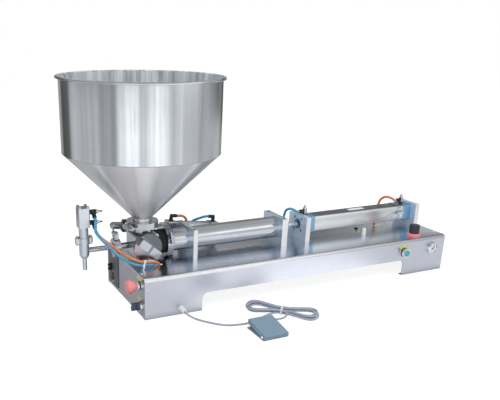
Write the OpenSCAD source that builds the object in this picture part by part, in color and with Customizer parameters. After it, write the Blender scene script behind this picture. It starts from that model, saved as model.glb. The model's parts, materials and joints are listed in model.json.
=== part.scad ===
// Bench-top piston filling machine for paste: a folded sheet base carries a hopper, a rotary valve,
// a metering tube and an air cylinder on one line, with a shut-off nozzle at the left end.
// Millimetres. The machine is drawn from the left front foot: X to the right, Y to the back, Z up.

/* [Base] */
// Length of the base
base_l = 1074; // [1070:1:1300]
// Width of the base
base_w = 317; // [300:1:380]
// Height of the deck above the floor
base_h = 120; // [112:1:150]
// Thickness of the folded sheet
sheet_t = 2; // [1.5:0.1:2.5]
// Outside radius of the long bends along the deck
bend_r = 10; // [6:0.5:12]
// Length of the left foot
foot_left = 175; // [150:1:200]
// Length of the right foot
foot_right = 169; // [150:1:185]
// Height of the arch between the feet
arch_h = 53; // [35:1:60]
// Radius of the arch's upper corners
arch_r = 18; // [8:1:28]
// Width of the flange turned in under each foot
foot_flange = 14; // [8:1:25]
// Length of the flange on each end panel
panel_flange = 20; // [14:1:30]

/* [Filling line] */
// Height of the filling axis above the deck
axis_h = 48; // [47:1:60]
// Distance of the hopper and valve from the left end
valve_x = 55; // [45:1:60]
// Distance of the valve-to-tube joint from the valve
joint_reach = 71; // [70:1:80]
// Outside diameter of the metering tube
tube_od = 66; // [60:1:70]
// Wall of the metering tube
tube_wall = 3; // [2:0.5:4]
// Diameter of the piston rod
rod_d = 16; // [12:1:18]
// Thickness of the metering piston
piston_t = 36; // [24:1:40]

/* [Tube saddles] */
// Width of both saddles across the machine
saddle_w = 113; // [104:1:113]
// Height of both saddles above the deck
saddle_h = 86; // [84:1:100]
// Distance of the front saddle from the left end
front_saddle_x = 193; // [160:1:220]
// Thickness of the front saddle
front_saddle_t = 13; // [12:1:20]
// Distance of the rear saddle from the left end
rear_saddle_x = 496; // [494:1:520]
// Thickness of the rear saddle
rear_saddle_t = 20; // [14:1:24]

/* [Air cylinder] */
// Distance of the front mounting plate from the left end
front_plate_x = 590; // [588:1:595]
// Thickness of the two mounting plates
plate_t = 16; // [12:1:18]
// Width of the two mounting plates
plate_w = 99; // [80:1:113]
// Height of the two mounting plates
plate_h = 79; // [76:1:90]
// Hole for the rod in the front plate
plate_hole = 34; // [26:1:36]
// Side of the square end heads
head_size = 53; // [51:1:56]
// Length of each end head
head_l = 33; // [28:1:33]
// Side of the extruded barrel
barrel_size = 51; // [46:1:51]
// Length of the barrel
barrel_l = 364; // [340:1:364]
// Bore of the barrel
air_bore = 40; // [36:1:41]
// Pitch of the four head screws
head_pitch = 37; // [35:1:38]

/* [Valve] */
// Length of the valve block along the line
block_w = 70; // [66:1:76]
// Depth of the valve block across the line
block_d = 77; // [70:1:84]
// Height of the valve block
block_h = 72; // [66:1:80]
// Diameter of the turning core
core_d = 50; // [46:1:54]
// Diameter of the round front cover
cover_d = 86; // [76:1:90]
// Thickness of the front cover
cover_t = 10; // [6:1:12]
// Length of the bar across the core's front end
bar_l = 74; // [56:1:78]
// Radius from the core's axis to the lever pin
lever_r = 36; // [34:1:40]

/* [Valve actuator] */
// Distance of the actuator behind the filling axis
act_back = 78; // [78:1:90]
// Slope of the actuator down to the right
act_tilt = 7; // [0:0.5:8]
// Side of the actuator's heads
act_head = 36; // [34:1:37]
// Bore of the actuator
act_bore = 30; // [26:1:31]

/* [Hopper] */
// Outside diameter of the hopper wall
hopper_d = 437; // [380:1:460]
// Height of the straight wall
hopper_wall_h = 200; // [120:1:240]
// Height of the cone
cone_h = 190; // [150:1:210]
// Thickness of the hopper sheet
hopper_t = 1.5; // [1.2:0.1:2.5]
// Diameter of the rolled rim's bead
rim_d = 7.2; // [6:0.2:10]
// Outside diameter of the hopper neck
neck_od = 51; // [48:1:52]

/* [Nozzle] */
// Reach of the nozzle past the left end of the base
nozzle_reach = 119; // [100:1:140]
// Outside diameter of the nozzle body
nozzle_d = 28; // [26:1:30]
// Outside diameter of the outlet tube
outlet_d = 12.5; // [11:0.5:14]
// Bore of the outlet tube
outlet_bore = 9.5; // [8:0.5:10]
// Length of the outlet tube below the body
outlet_l = 35; // [20:1:50]
// Side of the square nozzle air cylinder
nozzle_head = 32; // [32:1:38]
// Height of the nozzle air cylinder
nozzle_head_h = 55; // [52:1:70]
// Lift of the nozzle stem
nozzle_lift = 18; // [8:1:20]
// Outside diameter of the discharge pipe
pipe_d = 15; // [12:0.5:15]

/* [Controls] */
// Diameter of the panel hole for the push-buttons
button_hole = 22.4; // [22:0.1:24]
// Diameter of the emergency-stop head
estop_d = 38; // [34:1:40]
// Push of the emergency stop
estop_push = 6; // [3:0.5:7]
// Push of the start button
start_push = 4; // [2:0.5:5]
// Diameter of the pressure gauge
gauge_d = 40; // [36:1:46]
// Diameter of the regulator knob
knob_d = 32; // [28:1:36]
// Height of the regulator knob
knob_h = 27; // [24:1:40]

/* [Pedal] */
// Width of the pedal tread
tread_w = 72; // [64:1:90]
// Depth of the pedal tread
tread_l = 88; // [80:1:96]
// Height of the tread's front edge
tread_low = 15; // [14:1:18]
// Height of the tread's back edge
tread_high = 29; // [26:1:36]

/* [Hoses and cords] */
// Diameter of the air hoses
hose_d = 8; // [6:0.5:8]
// Diameter of the pedal cord
cord_d = 5.4; // [4.5:0.1:5.6]
// Diameter of the sensor wire
wire_d = 2.6; // [2:0.1:3.2]

/* [Hidden] */
$fn = 48;

// Clearances: run is the radial play of turning and sliding fits, seat that of fixed round seats
run = 0.05;
seat = 0.15;
gap = 0.3;

// The filling line
axis_y = base_w / 2;
axis_z = base_h + axis_h;
joint_x = valve_x + joint_reach;
gasket_t = 1.6;
tube_bore = tube_od - 2 * tube_wall;
tube_end = rear_saddle_x + rear_saddle_t;
flange_lip = 2.5;
flange_len = 7;
tube_flange = tube_od + 12;

// The piston rod at rest, with the piston at the front end of its travel
piston_x = joint_x + 39;
rod_seat = piston_x + piston_t;
spigot_d = 10;
front_head_x = front_plate_x + plate_t;
barrel_x = front_head_x + head_l;
rear_head_x = barrel_x + barrel_l;
rear_plate_x = rear_head_x + head_l;
air_piston_x = barrel_x + 6;
barrel_corner = 7;
air_piston_t = 30;
gland_neck = 25;
gland_nut = 28;

// The valve, with its core along Y
block_y0 = axis_y - block_d / 2;
block_y1 = axis_y + block_d / 2;
block_x0 = valve_x - block_w / 2;
block_x1 = valve_x + block_w / 2;
block_z1 = axis_z + block_h / 2;
back_wall = 12;
front_spindle_d = 20;
rear_spindle_d = 18;
port_d = 30;
valve_neck_d = 54;
lever_y = block_y1 + 11;
lever_t = 10;
pin_d = 8;
slot_play = 1.5;

// The actuator, drawn along its own axis from the foot of the core's axis
act_y = axis_y + act_back;
act_h = 0.85 * lever_r;
act_nose_s = 85;
act_front_s = 105;
act_head_l = 27;
act_barrel_l = 118;
act_barrel_s = act_front_s + act_head_l;
act_rear_s = act_barrel_s + act_barrel_l;
act_rod_d = 12;
act_rest_s = -lever_r * sin(45);
yoke_w = 30;
yoke_t = 12;
elbow_d = 11;
elbow_rise = 15;
elbow_arm = 16;

// The hopper and the stack of joints under it
hopper_joint = axis_z + 61;
cone_z = hopper_joint + 17;
wall_z = cone_z + cone_h;
hopper_top = wall_z + hopper_wall_h;
hopper_r = hopper_d / 2;
rim_r = hopper_r + 1.175 * rim_d;
hopper_flange = 76;
collar_d_top = 64;

// The outlet and the nozzle
outlet_joint = valve_x - 81;
outlet_flange = 34;
spigot_od = 18;
nozzle_x = -nozzle_reach;
nozzle_low = axis_z - 22;
nozzle_split = axis_z + 30;
bonnet_flange = 8;
bonnet_top = axis_z + 69;
nozzle_top = bonnet_top + nozzle_head_h;
nozzle_bore = 22;
nozzle_bolt = 19;
corner_bolt = nozzle_head / 2 - 5;
stem_d = 8;
stem_piston = bonnet_top + 5;
stem_piston_t = 10;
outlet_z = nozzle_low - outlet_l;

// Flow controls: a port face, a direction and a turn of the hose arm for each
flow_h = 21;
flow_arm = 20;
flow_arm_z = 13;
knob_bore = 5;
head_top = axis_z + head_size / 2;
front_flow = [front_head_x + 8, axis_y, head_top];
rear_flow = [rear_head_x + 9, axis_y, head_top];
upper_flow = [nozzle_x + nozzle_head / 2, axis_y, nozzle_top - 15];
lower_flow = [nozzle_x + nozzle_head / 2, axis_y, nozzle_top - 45];
nozzle_arm_turn = 130;

// Controls on the panels and the deck
estop = [20, 97];
selector = [24, 35];
start_from_right = 172;
gauge_from_right = 52;
start = [base_l - start_from_right, 81];
gauge = [base_l - gauge_from_right, 80];
cord_gland = [108, 18];
regulator_from_right = 109;
ring_h = 10;
wire_from_right = 252;
regulator = [base_l - regulator_from_right, 31];
wire_gland = [base_l - wire_from_right, 108];
plate_box = [216, 302, 12, 112];
rocker = [266, 36];
air_inlet = [276, 70];
mains_gland = [276, 58];
rocker_w = 13;
rocker_h = 20;
collar_d = 29;
needle_rest = 35;

// The pedal stands on the floor in front of the machine
pedal_x = 237;
pedal_y = -240;
tread_wall = 2.5;
tread_pivot = [pedal_y + 12, 9];
pedal_plate = 4;
cord_entry = [286, 5.6];
pivot_d = 5;

// Hose routes: from each fitting to its hole in the deck
flow_lean = [0, -sin(nozzle_arm_turn), cos(nozzle_arm_turn)];
upper_tip = upper_flow + [flow_arm_z, 0, 0] + flow_arm * flow_lean;
lower_tip = lower_flow + [flow_arm_z, 0, 0] + flow_arm * flow_lean;
blue_hole = [64.5, 93];
orange_hole = [83.3, 97.3];
front_hole = [566, 214];
rear_hole = [955, 214];
act_blue_hole = [252, 268];
act_orange_hole = [236, 268];
deck_holes = [front_hole, rear_hole, act_blue_hole, act_orange_hole];

function act_point(s, n) = [valve_x + s * cos(act_tilt) + n * sin(act_tilt), act_y,
  axis_z - s * sin(act_tilt) + n * cos(act_tilt)];
elbow_n = act_h + act_head / 2 + elbow_rise;
left_elbow = act_point(act_front_s + act_head_l / 2 + elbow_arm, elbow_n);
right_elbow = act_point(act_rear_s + act_head_l / 2 - elbow_arm, elbow_n);
function down(h) = [[h[0], h[1], base_h + 14], [h[0], h[1], base_h - 18]];
hose_hole = hose_d + 4.6;
slot_w = hose_d + 9.6;

// The two nozzle hoses slope down under the valve into one slot in the deck
function by(h, d) = [h[0] + d[0], h[1] + d[1], base_h + d[2]];
route_nozzle_blue = concat([upper_tip - 6 * flow_lean, upper_tip, upper_tip + 10 * flow_lean,
  [-103, 105, axis_z + 70], [-92, 96, axis_z + 38], [-66, 90, axis_z + 8], [-30, 86, base_h + 32],
  [8, 84, base_h + 20], [34, 84, base_h + 16.8]], [by(blue_hole, [-14.5, -8, 10.5]),
  by(blue_hole, [-2.5, -3, 3]), by(blue_hole, [4.5, 5, -7]), by(blue_hole, [8.5, 12, -18])]);
route_nozzle_orange = concat([lower_tip - 6 * flow_lean, lower_tip, lower_tip + 8 * flow_lean,
  [-84, 107, axis_z + 40], [-66, 98, axis_z + 18], [-34, 92, base_h + 43], [-4, 88, base_h + 33],
  [26, 85, base_h + 28], [46, 84.5, base_h + 26]], [by(orange_hole, [-21.3, -11.3, 21]),
  by(orange_hole, [-9.3, -8.8, 12.5]), by(orange_hole, [-1.3, -1.3, 2]), by(orange_hole, [3.7, 4.7, -9]),
  by(orange_hole, [6.7, 9.7, -18])]);
front_tip = front_flow + [-flow_arm, 0, flow_arm_z];
rear_tip = rear_flow + [-flow_arm, 0, flow_arm_z];
act_way = [cos(act_tilt), 0, -sin(act_tilt)];
route_front = concat([front_tip + [6, 0, 0], front_tip, front_tip + [-8, 0, 0], front_tip + [-20, 6, 7],
  front_tip + [-31, 22, 7], front_tip + [-34, 42, -14]], down(front_hole));
route_rear = concat([rear_tip + [6, 0, 0], rear_tip, rear_tip + [-8, 0, 0], rear_tip + [-20, 6, 8],
  rear_tip + [-33, 22, 9], rear_tip + [-37, 42, -12]], down(rear_hole));
route_act_orange = concat([left_elbow - 6 * act_way, left_elbow, left_elbow + 8 * act_way,
  left_elbow + [22, 5, -3], left_elbow + [34, 17, -17], left_elbow + [39, 27, -48]], down(act_orange_hole));
route_act_blue = concat([right_elbow + 6 * act_way, right_elbow, right_elbow - 9 * act_way,
  right_elbow + [-24, 8, -4], right_elbow + [-45, 25, -18], right_elbow + [-54, 31, -42]],
  down(act_blue_hole));

// Sensor wire: from the switch on the barrel, through a sleeve, to its gland on the deck
sensor_x = rear_head_x - 30;
sensor_len = 26;
sensor_y = axis_y - barrel_size / 2 - 4;
wire_z = axis_z + 2;
sleeve_x = 876;
sleeve_l = 16;
sleeve_d = 5;
sleeve_y = 116;
sleeve_z = base_h + 21;
wire_gland_h = 21;
wire_gland_top = [wire_gland[0], wire_gland[1], base_h + wire_gland_h];
wire_route_a = [[sensor_x, sensor_y, wire_z], [sensor_x - 8, sensor_y, wire_z], [944, 123, base_h + 39],
  [914, 117, base_h + 26], [sleeve_x + sleeve_l + 9, sleeve_y, sleeve_z],
  [sleeve_x + sleeve_l + seat, sleeve_y, sleeve_z]];
wire_route_b = [[sleeve_x - seat, sleeve_y, sleeve_z], [sleeve_x - 10, sleeve_y - 1, sleeve_z],
  [852, 110, base_h + 24], wire_gland_top + [16, -1, 12], wire_gland_top + [5, 0, 15],
  wire_gland_top + [0, 0, 8], wire_gland_top - [0, 0, 5]];

// The hank: loops drawn in at a tied waist, in two layers, one unbroken tube
hank_at = [380, -98];
hank_turn = -42;
hank_loops = 4;
hank_half = 104;
hank_lobe = 27;
hank_waist = 15;
hank_step = 7;
hank_lobe_step = 5;
hank_waist_step = 6;
hank_rings = 24;
hank_z = 3.9;
hank_rise = 6.4;
tie_t = 0.8;

// One point of the hank at u loops from its start
function hank_in(u) = u < hank_loops / 2 ? u : hank_loops - u;
function hank_ramp(u) = min(1, max(0, (u - hank_loops / 2 + 0.25) / 0.5));
function hank_point(u) = let (t = 360 * u - 90, k = hank_in(u), s = sin(t), c = cos(t),
    x = (hank_half - k * hank_step) * c,
    y = (hank_waist - k * hank_waist_step) * s + (hank_lobe - k * hank_lobe_step) * 2.6 * c * c * s)
  [hank_at[0] + x * cos(hank_turn) - y * sin(hank_turn),
    hank_at[1] + x * sin(hank_turn) + y * cos(hank_turn),
    hank_z + hank_rise * hank_ramp(u)];
hank_start = hank_point(0);
hank_end = hank_point(hank_loops);

// Pedal cord: the stretch from its gland to the hank, and the stretch from the hank to the pedal
cord_low = cord_d / 2 + 0.2;
route_gland = [[108, -22, 18], [108, -32, 17.6], [112, -43, 14.4], [123, -55, 8.6], [138, -67, 4.2],
  [154, -84, cord_low], [172, -104, cord_low], [194, -120, cord_low], [224, -128, cord_low],
  [256, -129, cord_low], [286, -122, cord_low], [310, -110, cord_low], [330, -102.5, cord_low],
  [347, -99.8, 3.3], [360.3, -102, hank_z], hank_start];
route_pedal = [[cord_entry[0], pedal_y + tread_l + 1, cord_entry[1]],
  [cord_entry[0] + 1.6, pedal_y + tread_l + 10.5, 5], [295, -135.2, 3.6], [309, -134.4, cord_low],
  [325, -136, cord_low], [341, -138.5, cord_low], [356, -139.5, 3.6], [369, -136, 6],
  [376.6, -127.5, 9], [376, -116.8, hank_z + hank_rise], hank_end];

// The frame's origin: the middle of the machine and its pedal, on the floor
low_x = min(valve_x - rim_r, nozzle_x - nozzle_head / 2);
low_y = pedal_y;
high_y = max(axis_y + rim_r, base_w);
origin_x = (low_x + base_l) / 2;
origin_y = (low_y + high_y) / 2;

// Curves for hoses and cords
function unit(v) = v / norm(v);
function at(p, i) = p[max(0, min(len(p) - 1, i))];
function bend(p, i, t) = let (a = at(p, i - 1), b = at(p, i), c = at(p, i + 1), d = at(p, i + 2))
  0.5 * (2 * b + (c - a) * t + (2 * a - 5 * b + 4 * c - d) * t * t + (3 * b - a - 3 * c + d) * t * t * t);
function curve(p, n) = concat([for (i = [0 : len(p) - 2], k = [0 : n - 1]) bend(p, i, k / n)],
  [at(p, len(p))]);
function along(p, i) = unit(at(p, i + 1) - at(p, i - 1));
function square_to(n, t) = unit(n - (n * t) * t);
function first_side(t) = abs(t[2]) < 0.9 ? [0, 0, 1] : [1, 0, 0];
function sides(p, i, n) = i == len(p) ? [] :
  let (m = square_to(n, along(p, i))) concat([m], sides(p, i + 1, m));
function path_length(p) = len(p) < 2 ? 0 : [for (i = [0 : len(p) - 2]) norm(p[i + 1] - p[i])] *
  [for (i = [0 : len(p) - 2]) 1];

module tube_along(p, d, n) {
  side = sides(p, 0, first_side(along(p, 0)));
  last = (len(p) - 1) * n;
  points = [for (i = [0 : len(p) - 1], k = [0 : n - 1])
    p[i] + d / 2 * (cos(360 * k / n) * side[i] + sin(360 * k / n) * cross(along(p, i), side[i]))];
  walls = [for (i = [0 : len(p) - 2], k = [0 : n - 1], f = [0, 1])
    let (a = i * n + k, b = i * n + (k + 1) % n) f == 0 ? [a, a + n, b + n] : [a, b + n, b]];
  caps = [for (k = [1 : n - 2], f = [0, 1]) f == 0 ? [0, k, k + 1] : [last, last + k + 1, last + k]];
  polyhedron(points, concat(walls, caps));
}

// Round bars and holes along each axis
module xrod(x0, x1, d, y = axis_y, z = axis_z) {
  translate([x0, y, z]) rotate([0, 90, 0]) cylinder(h = x1 - x0, d = d);
}

module yrod(y0, y1, d, x, z) {
  translate([x, y0, z]) rotate([-90, 0, 0]) cylinder(h = y1 - y0, d = d);
}

module zrod(z0, z1, d, x, y) {
  translate([x, y, z0]) cylinder(h = z1 - z0, d = d);
}

// A flat outline in the YZ plane carried along X, and one in the XZ plane carried along Y
module along_x(x0, x1) {
  translate([x0, 0, 0]) rotate([90, 0, 90]) linear_extrude(x1 - x0) children();
}

module along_y(y0, y1) {
  translate([0, y1, 0]) rotate([90, 0, 0]) linear_extrude(y1 - y0) children();
}

// A rectangle with round corners, centred
module round_rect(w, h, r) {
  square([w - 2 * r, h], center = true);
  square([w, h - 2 * r], center = true);
  for (x = [-1, 1], y = [-1, 1]) translate([x * (w / 2 - r), y * (h / 2 - r)]) circle(r);
}

// A round shape about Z from its half outline
module turned() {
  rotate_extrude() children();
}

module placed() {
  translate([-origin_x, -origin_y, 0]) children();
}

module act_frame() {
  translate([valve_x, 0, axis_z]) rotate([0, act_tilt, 0]) children();
}

// Section of the cover: straight sides and top with round upper corners
module cover_section(inset) {
  r = bend_r - inset;
  w = base_w - 2 * inset;
  h = base_h - inset;
  translate([inset, 0]) {
    square([w, h - r]);
    translate([r, 0]) square([w - 2 * r, h]);
    for (y = [r, w - r]) translate([y, h - r]) circle(r);
  }
}

module arch_outline() {
  w = base_l - foot_left - foot_right;
  translate([foot_left, -1]) {
    square([w, arch_h - arch_r + 1]);
    translate([arch_r, 0]) square([w - 2 * arch_r, arch_h + 1]);
    for (x = [arch_r, w - arch_r]) translate([x, arch_h - arch_r + 1]) circle(arch_r);
  }
}

module base_cover() {
  color("lightsteelblue") placed() difference() {
    union() {
      along_x(0, base_l) difference() {
        cover_section(0);
        cover_section(sheet_t);
        translate([sheet_t, -1]) square([base_w - 2 * sheet_t, 2]);
      }
      for (x = [[0, foot_left], [base_l - foot_right, base_l]], y = [0, base_w - foot_flange])
        translate([x[0], y, 0]) cube([x[1] - x[0], foot_flange, sheet_t]);
    }
    along_y(-1, base_w + 1) arch_outline();
    yrod(-1, sheet_t + 1, 12.4, cord_gland[0], cord_gland[1]);
    yrod(-1, sheet_t + 1, button_hole, start[0], start[1]);
    yrod(-1, sheet_t + 1, gauge_d - 3.6, gauge[0], gauge[1]);
    zrod(base_h - sheet_t - 1, base_h + 1, 10.4, wire_gland[0], wire_gland[1]);
    zrod(base_h - sheet_t - 1, base_h + 1, 30.4, regulator[0], regulator[1]);
    for (h = deck_holes) zrod(base_h - sheet_t - 1, base_h + 1, hose_hole, h[0], h[1]);
    translate([0, 0, base_h - sheet_t - 1]) linear_extrude(sheet_t + 2) hull()
      for (h = [blue_hole, orange_hole]) translate(h) circle(d = slot_w);
  }
}

// An end panel: a plate inside the cover's end with a flange along its edges
module end_panel() {
  inset = sheet_t + 0.2;
  low = sheet_t + 0.2;
  difference() {
    along_x(0, panel_flange) cover_section(inset);
    along_x(sheet_t, panel_flange + 1) cover_section(inset + sheet_t);
    translate([-1, 0, -1]) cube([panel_flange + 2, base_w, low + 1]);
  }
}

module end_panels() {
  color("slategray") placed() {
    difference() {
      end_panel();
      for (c = [estop, selector]) xrod(-1, sheet_t + 1, button_hole, c[0], c[1]);
      for (c = [air_inlet, mains_gland]) xrod(-1, sheet_t + 1, 9.4, c[0], c[1]);
      translate([-1, rocker[0] - rocker_w / 2, rocker[1] - rocker_h / 2])
        cube([sheet_t + 2, rocker_w, rocker_h]);
    }
    translate([base_l, 0, 0]) mirror([1, 0, 0]) end_panel();
  }
}

// The domed head of a panel screw, standing on the XY plane
module panel_screw() {
  turned() polygon([[0, 0], [3.6, 0], [2.6, 1.5], [0, 2]]);
}

module panel_screws() {
  inset = 9;
  color("white") placed() {
    for (x = [inset, base_l - inset], z = [16, 85]) {
      translate([x, 0, z]) rotate([90, 0, 0]) panel_screw();
      translate([x, base_w, z]) rotate([-90, 0, 0]) panel_screw();
    }
    for (x = [inset, base_l - inset], y = [43, base_w - 43])
      translate([x, y, base_h]) panel_screw();
    for (z = [plate_box[2] + 8, plate_box[3] - 10])
      translate([-sheet_t, 262, z]) rotate([0, -90, 0]) panel_screw();
  }
}

module power_plate() {
  w = plate_box[1] - plate_box[0];
  h = plate_box[3] - plate_box[2];
  color("darkslategray") placed() difference() {
    along_x(-sheet_t, 0) translate([plate_box[0] + w / 2, plate_box[2] + h / 2]) round_rect(w, h, 4);
    for (c = [air_inlet, mains_gland]) xrod(-sheet_t - 1, 1, 9.4, c[0], c[1]);
    translate([-sheet_t - 1, rocker[0] - rocker_w / 2, rocker[1] - rocker_h / 2])
      cube([sheet_t + 2, rocker_w, rocker_h]);
  }
}

// Air inlet and the gland of the mains lead, both through the power plate
module side_fittings() {
  color("black") placed() for (c = [air_inlet, mains_gland]) difference() {
    union() {
      xrod(-sheet_t - 5, -sheet_t, 11.5, c[0], c[1]);
      xrod(-13, -sheet_t - 5, 9.5, c[0], c[1]);
      xrod(-sheet_t, 16, 9, c[0], c[1]);
    }
    xrod(-14, 17, 6, c[0], c[1]);
  }
}

// A rocker that tips about a cross pin in the plate's opening
module rocker_switch() {
  w = rocker_w - 2;
  h = rocker_h - 4;
  color("black") placed() translate([0, rocker[0], rocker[1]]) {
    rotate([90, 0, 0]) translate([0, 0, -w / 2]) linear_extrude(w)
      polygon([[2, -h / 2], [2, h / 2], [-4, h / 2], [-3, 0], [-5.5, -h / 2]]);
    translate([0, -rocker_w / 2 + run, 0]) rotate([-90, 0, 0]) cylinder(h = rocker_w - 2 * run, d = 2);
  }
}

// One saddle: a lower block on the deck and a cap, split along the tube's axis
module saddle(x, t) {
  screw_y = saddle_w / 2 - 12;
  difference() {
    translate([x, axis_y - saddle_w / 2, base_h]) cube([t, saddle_w, saddle_h]);
    xrod(x - 1, x + t + 1, tube_od + 2 * seat);
    translate([x - 1, axis_y - saddle_w, axis_z]) cube([t + 2, 2 * saddle_w, gap]);
    for (y = [-1, 1]) {
      zrod(base_h + 14, base_h + saddle_h + 1, 6.6, x + t / 2, axis_y + y * screw_y);
      zrod(base_h + saddle_h - 7, base_h + saddle_h + 1, 10.4, x + t / 2, axis_y + y * screw_y);
    }
  }
}

module tube_saddles() {
  color("gainsboro") placed() {
    saddle(front_saddle_x, front_saddle_t);
    saddle(rear_saddle_x, rear_saddle_t);
  }
}

// A socket-head screw: head above the XY plane, shank below it
module cap_screw(d, l) {
  difference() {
    union() {
      cylinder(h = d, d = 1.6 * d);
      translate([0, 0, -l]) cylinder(h = l, d = d);
    }
    translate([0, 0, 0.4 * d]) cylinder(h = d, d = 0.9 * d, $fn = 6);
  }
}

module socket_screws() {
  screw_y = saddle_w / 2 - 12;
  color("dimgray") placed() {
    for (s = [[front_saddle_x, front_saddle_t], [rear_saddle_x, rear_saddle_t]], y = [-1, 1])
      translate([s[0] + s[1] / 2, axis_y + y * screw_y, base_h + saddle_h - 7]) cap_screw(6, 60);
    for (y = [-1, 1], z = [-1, 1]) {
      translate([front_plate_x + 6, axis_y + y * head_pitch / 2, axis_z + z * head_pitch / 2])
        rotate([0, -90, 0]) cap_screw(5, 20);
      translate([rear_plate_x + plate_t - 6, axis_y + y * head_pitch / 2, axis_z + z * head_pitch / 2])
        rotate([0, 90, 0]) cap_screw(5, 20);
      translate([nozzle_x + y * corner_bolt, axis_y + z * corner_bolt, nozzle_top]) cap_screw(5.4, 12);
    }
    for (x = [-1, 1]) translate([nozzle_x + x * nozzle_bolt, axis_y, nozzle_split + bonnet_flange]) {
      cap_screw(5, 2 * bonnet_flange + 4);
      translate([0, 0, -2 * bonnet_flange - 4]) cylinder(h = 4, d = 9, $fn = 6);
    }
  }
}

// A clamp flange on a pipe end: flat face on the XY plane, tapered back above it
module clamp_flange(bore, pipe, flange) {
  turned() polygon([[bore / 2, 0], [flange / 2, 0], [flange / 2, flange_lip],
    [pipe / 2 + 1.2, flange_len - 1], [pipe / 2, flange_len], [bore / 2, flange_len]]);
}

module metering_cylinder() {
  face = joint_x + gasket_t / 2;
  color("silver") placed() {
    translate([face, axis_y, axis_z]) rotate([0, 90, 0]) turned()
      polygon([[tube_bore / 2, 0], [tube_flange / 2, 0], [tube_flange / 2, flange_lip],
        [tube_od / 2 + 1.2, flange_len - 1], [tube_od / 2, flange_len], [tube_od / 2, tube_end - face],
        [tube_bore / 2, tube_end - face]]);
  }
}

// Rear cap: plug in the tube, flange, neck and the nut that holds the rod's wiper
module rear_cap() {
  plug = 16;
  flange = 4;
  color("whitesmoke") placed() difference() {
    union() {
      xrod(tube_end - plug, tube_end, tube_bore - 2 * seat);
      xrod(tube_end, tube_end + flange, tube_od);
      xrod(tube_end + flange, tube_end + gland_neck, 22);
      translate([tube_end + gland_neck, axis_y, axis_z]) rotate([0, 90, 0])
        cylinder(h = 9, d = gland_nut, $fn = 6);
    }
    xrod(tube_end - plug - 1, tube_end + gland_neck + 10, rod_d + 2 * run);
  }
}

// A mounting plate with rounded upper corners and four counterbored screw holes
module mounting_plate(x, sink_x) {
  r = 5;
  difference() {
    along_x(x, x + plate_t) translate([axis_y, base_h]) {
      translate([-plate_w / 2, 0]) square([plate_w, plate_h - r]);
      translate([-plate_w / 2 + r, 0]) square([plate_w - 2 * r, plate_h]);
      for (y = [-1, 1]) translate([y * (plate_w / 2 - r), plate_h - r]) circle(r);
    }
    for (y = [-1, 1], z = [-1, 1]) {
      xrod(x - 1, x + plate_t + 1, 5.6, axis_y + y * head_pitch / 2, axis_z + z * head_pitch / 2);
      xrod(sink_x, sink_x + 6, 8.8, axis_y + y * head_pitch / 2, axis_z + z * head_pitch / 2);
    }
  }
}

module front_plate() {
  color("lightslategray") placed() difference() {
    mounting_plate(front_plate_x, front_plate_x);
    xrod(front_plate_x - 1, front_plate_x + plate_t + 1, plate_hole);
  }
}

module rear_plate() {
  color("lightslategray") placed() mounting_plate(rear_plate_x, rear_plate_x + plate_t - 6);
}

module head_screw_holes(x) {
  for (y = [-1, 1], z = [-1, 1])
    xrod(x, x + 14, 5.4, axis_y + y * head_pitch / 2, axis_z + z * head_pitch / 2);
}

module air_heads() {
  boss = 6;
  color("steelblue") placed() {
    difference() {
      union() {
        along_x(front_head_x, barrel_x) translate([axis_y, axis_z]) round_rect(head_size, head_size, 5);
        xrod(front_head_x - boss, front_head_x, plate_hole - 2 * gap);
      }
      xrod(front_head_x - boss - 1, barrel_x + 1, rod_d + 2 * run);
      head_screw_holes(front_head_x - 1);
    }
    difference() {
      along_x(rear_head_x, rear_plate_x) translate([axis_y, axis_z]) round_rect(head_size, head_size, 5);
      head_screw_holes(rear_plate_x - 13);
    }
  }
}

// Extruded barrel with a pair of shallow grooves along each side
module air_barrel() {
  groove = 2.4;
  color("silver") placed() along_x(barrel_x, rear_head_x) translate([axis_y, axis_z]) difference() {
    round_rect(barrel_size, barrel_size, barrel_corner);
    circle(d = air_bore);
    for (a = [0 : 90 : 270], s = [-1, 1])
      rotate(a) translate([barrel_size / 2, s * 0.28 * barrel_size]) square([1.6, groove], center = true);
  }
}

module valve_body() {
  right_face = joint_x - gasket_t / 2;
  left_face = outlet_joint + gasket_t / 2;
  top_face = hopper_joint - gasket_t / 2;
  collar_z = block_z1 + 5;
  color("gray") placed() difference() {
    union() {
      along_y(block_y0, block_y1) translate([valve_x, axis_z]) round_rect(block_w, block_h, 5);
      xrod(block_x1 - 1, right_face - flange_len, valve_neck_d);
      translate([right_face, axis_y, axis_z]) rotate([0, -90, 0])
        clamp_flange(valve_neck_d - 10, tube_od, tube_flange);
      xrod(left_face + flange_len, block_x0 + 1, spigot_od);
      translate([left_face, axis_y, axis_z]) rotate([0, 90, 0])
        clamp_flange(pipe_d - 3, spigot_od, outlet_flange);
      zrod(block_z1 - 1, collar_z, 38, valve_x, axis_y);
      zrod(collar_z, collar_z + 6, collar_d_top, valve_x, axis_y);
      zrod(collar_z + 6, top_face - flange_len, neck_od, valve_x, axis_y);
      translate([valve_x, axis_y, top_face]) mirror([0, 0, 1]) clamp_flange(port_d, neck_od, hopper_flange);
    }
    yrod(block_y0 - 1, block_y1 - back_wall, core_d + 2 * run, valve_x, axis_z);
    yrod(block_y1 - back_wall - 1, block_y1 + 1, rear_spindle_d + 2 * run, valve_x, axis_z);
    xrod(valve_x, right_face + 1, port_d);
    xrod(left_face - 1, valve_x, pipe_d - 3);
    zrod(axis_z, top_face + 1, port_d, valve_x, axis_y);
  }
}

module valve_cover() {
  color("gray") placed() difference() {
    translate([valve_x, block_y0, axis_z]) rotate([90, 0, 0]) turned()
      polygon([[0, 0], [cover_d / 2, 0], [cover_d / 2, cover_t - 1.5],
        [cover_d / 2 - 1.5, cover_t], [0, cover_t]]);
    yrod(block_y0 - cover_t - 1, block_y0 + 1, front_spindle_d + 2 * run, valve_x, axis_z);
  }
}

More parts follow.
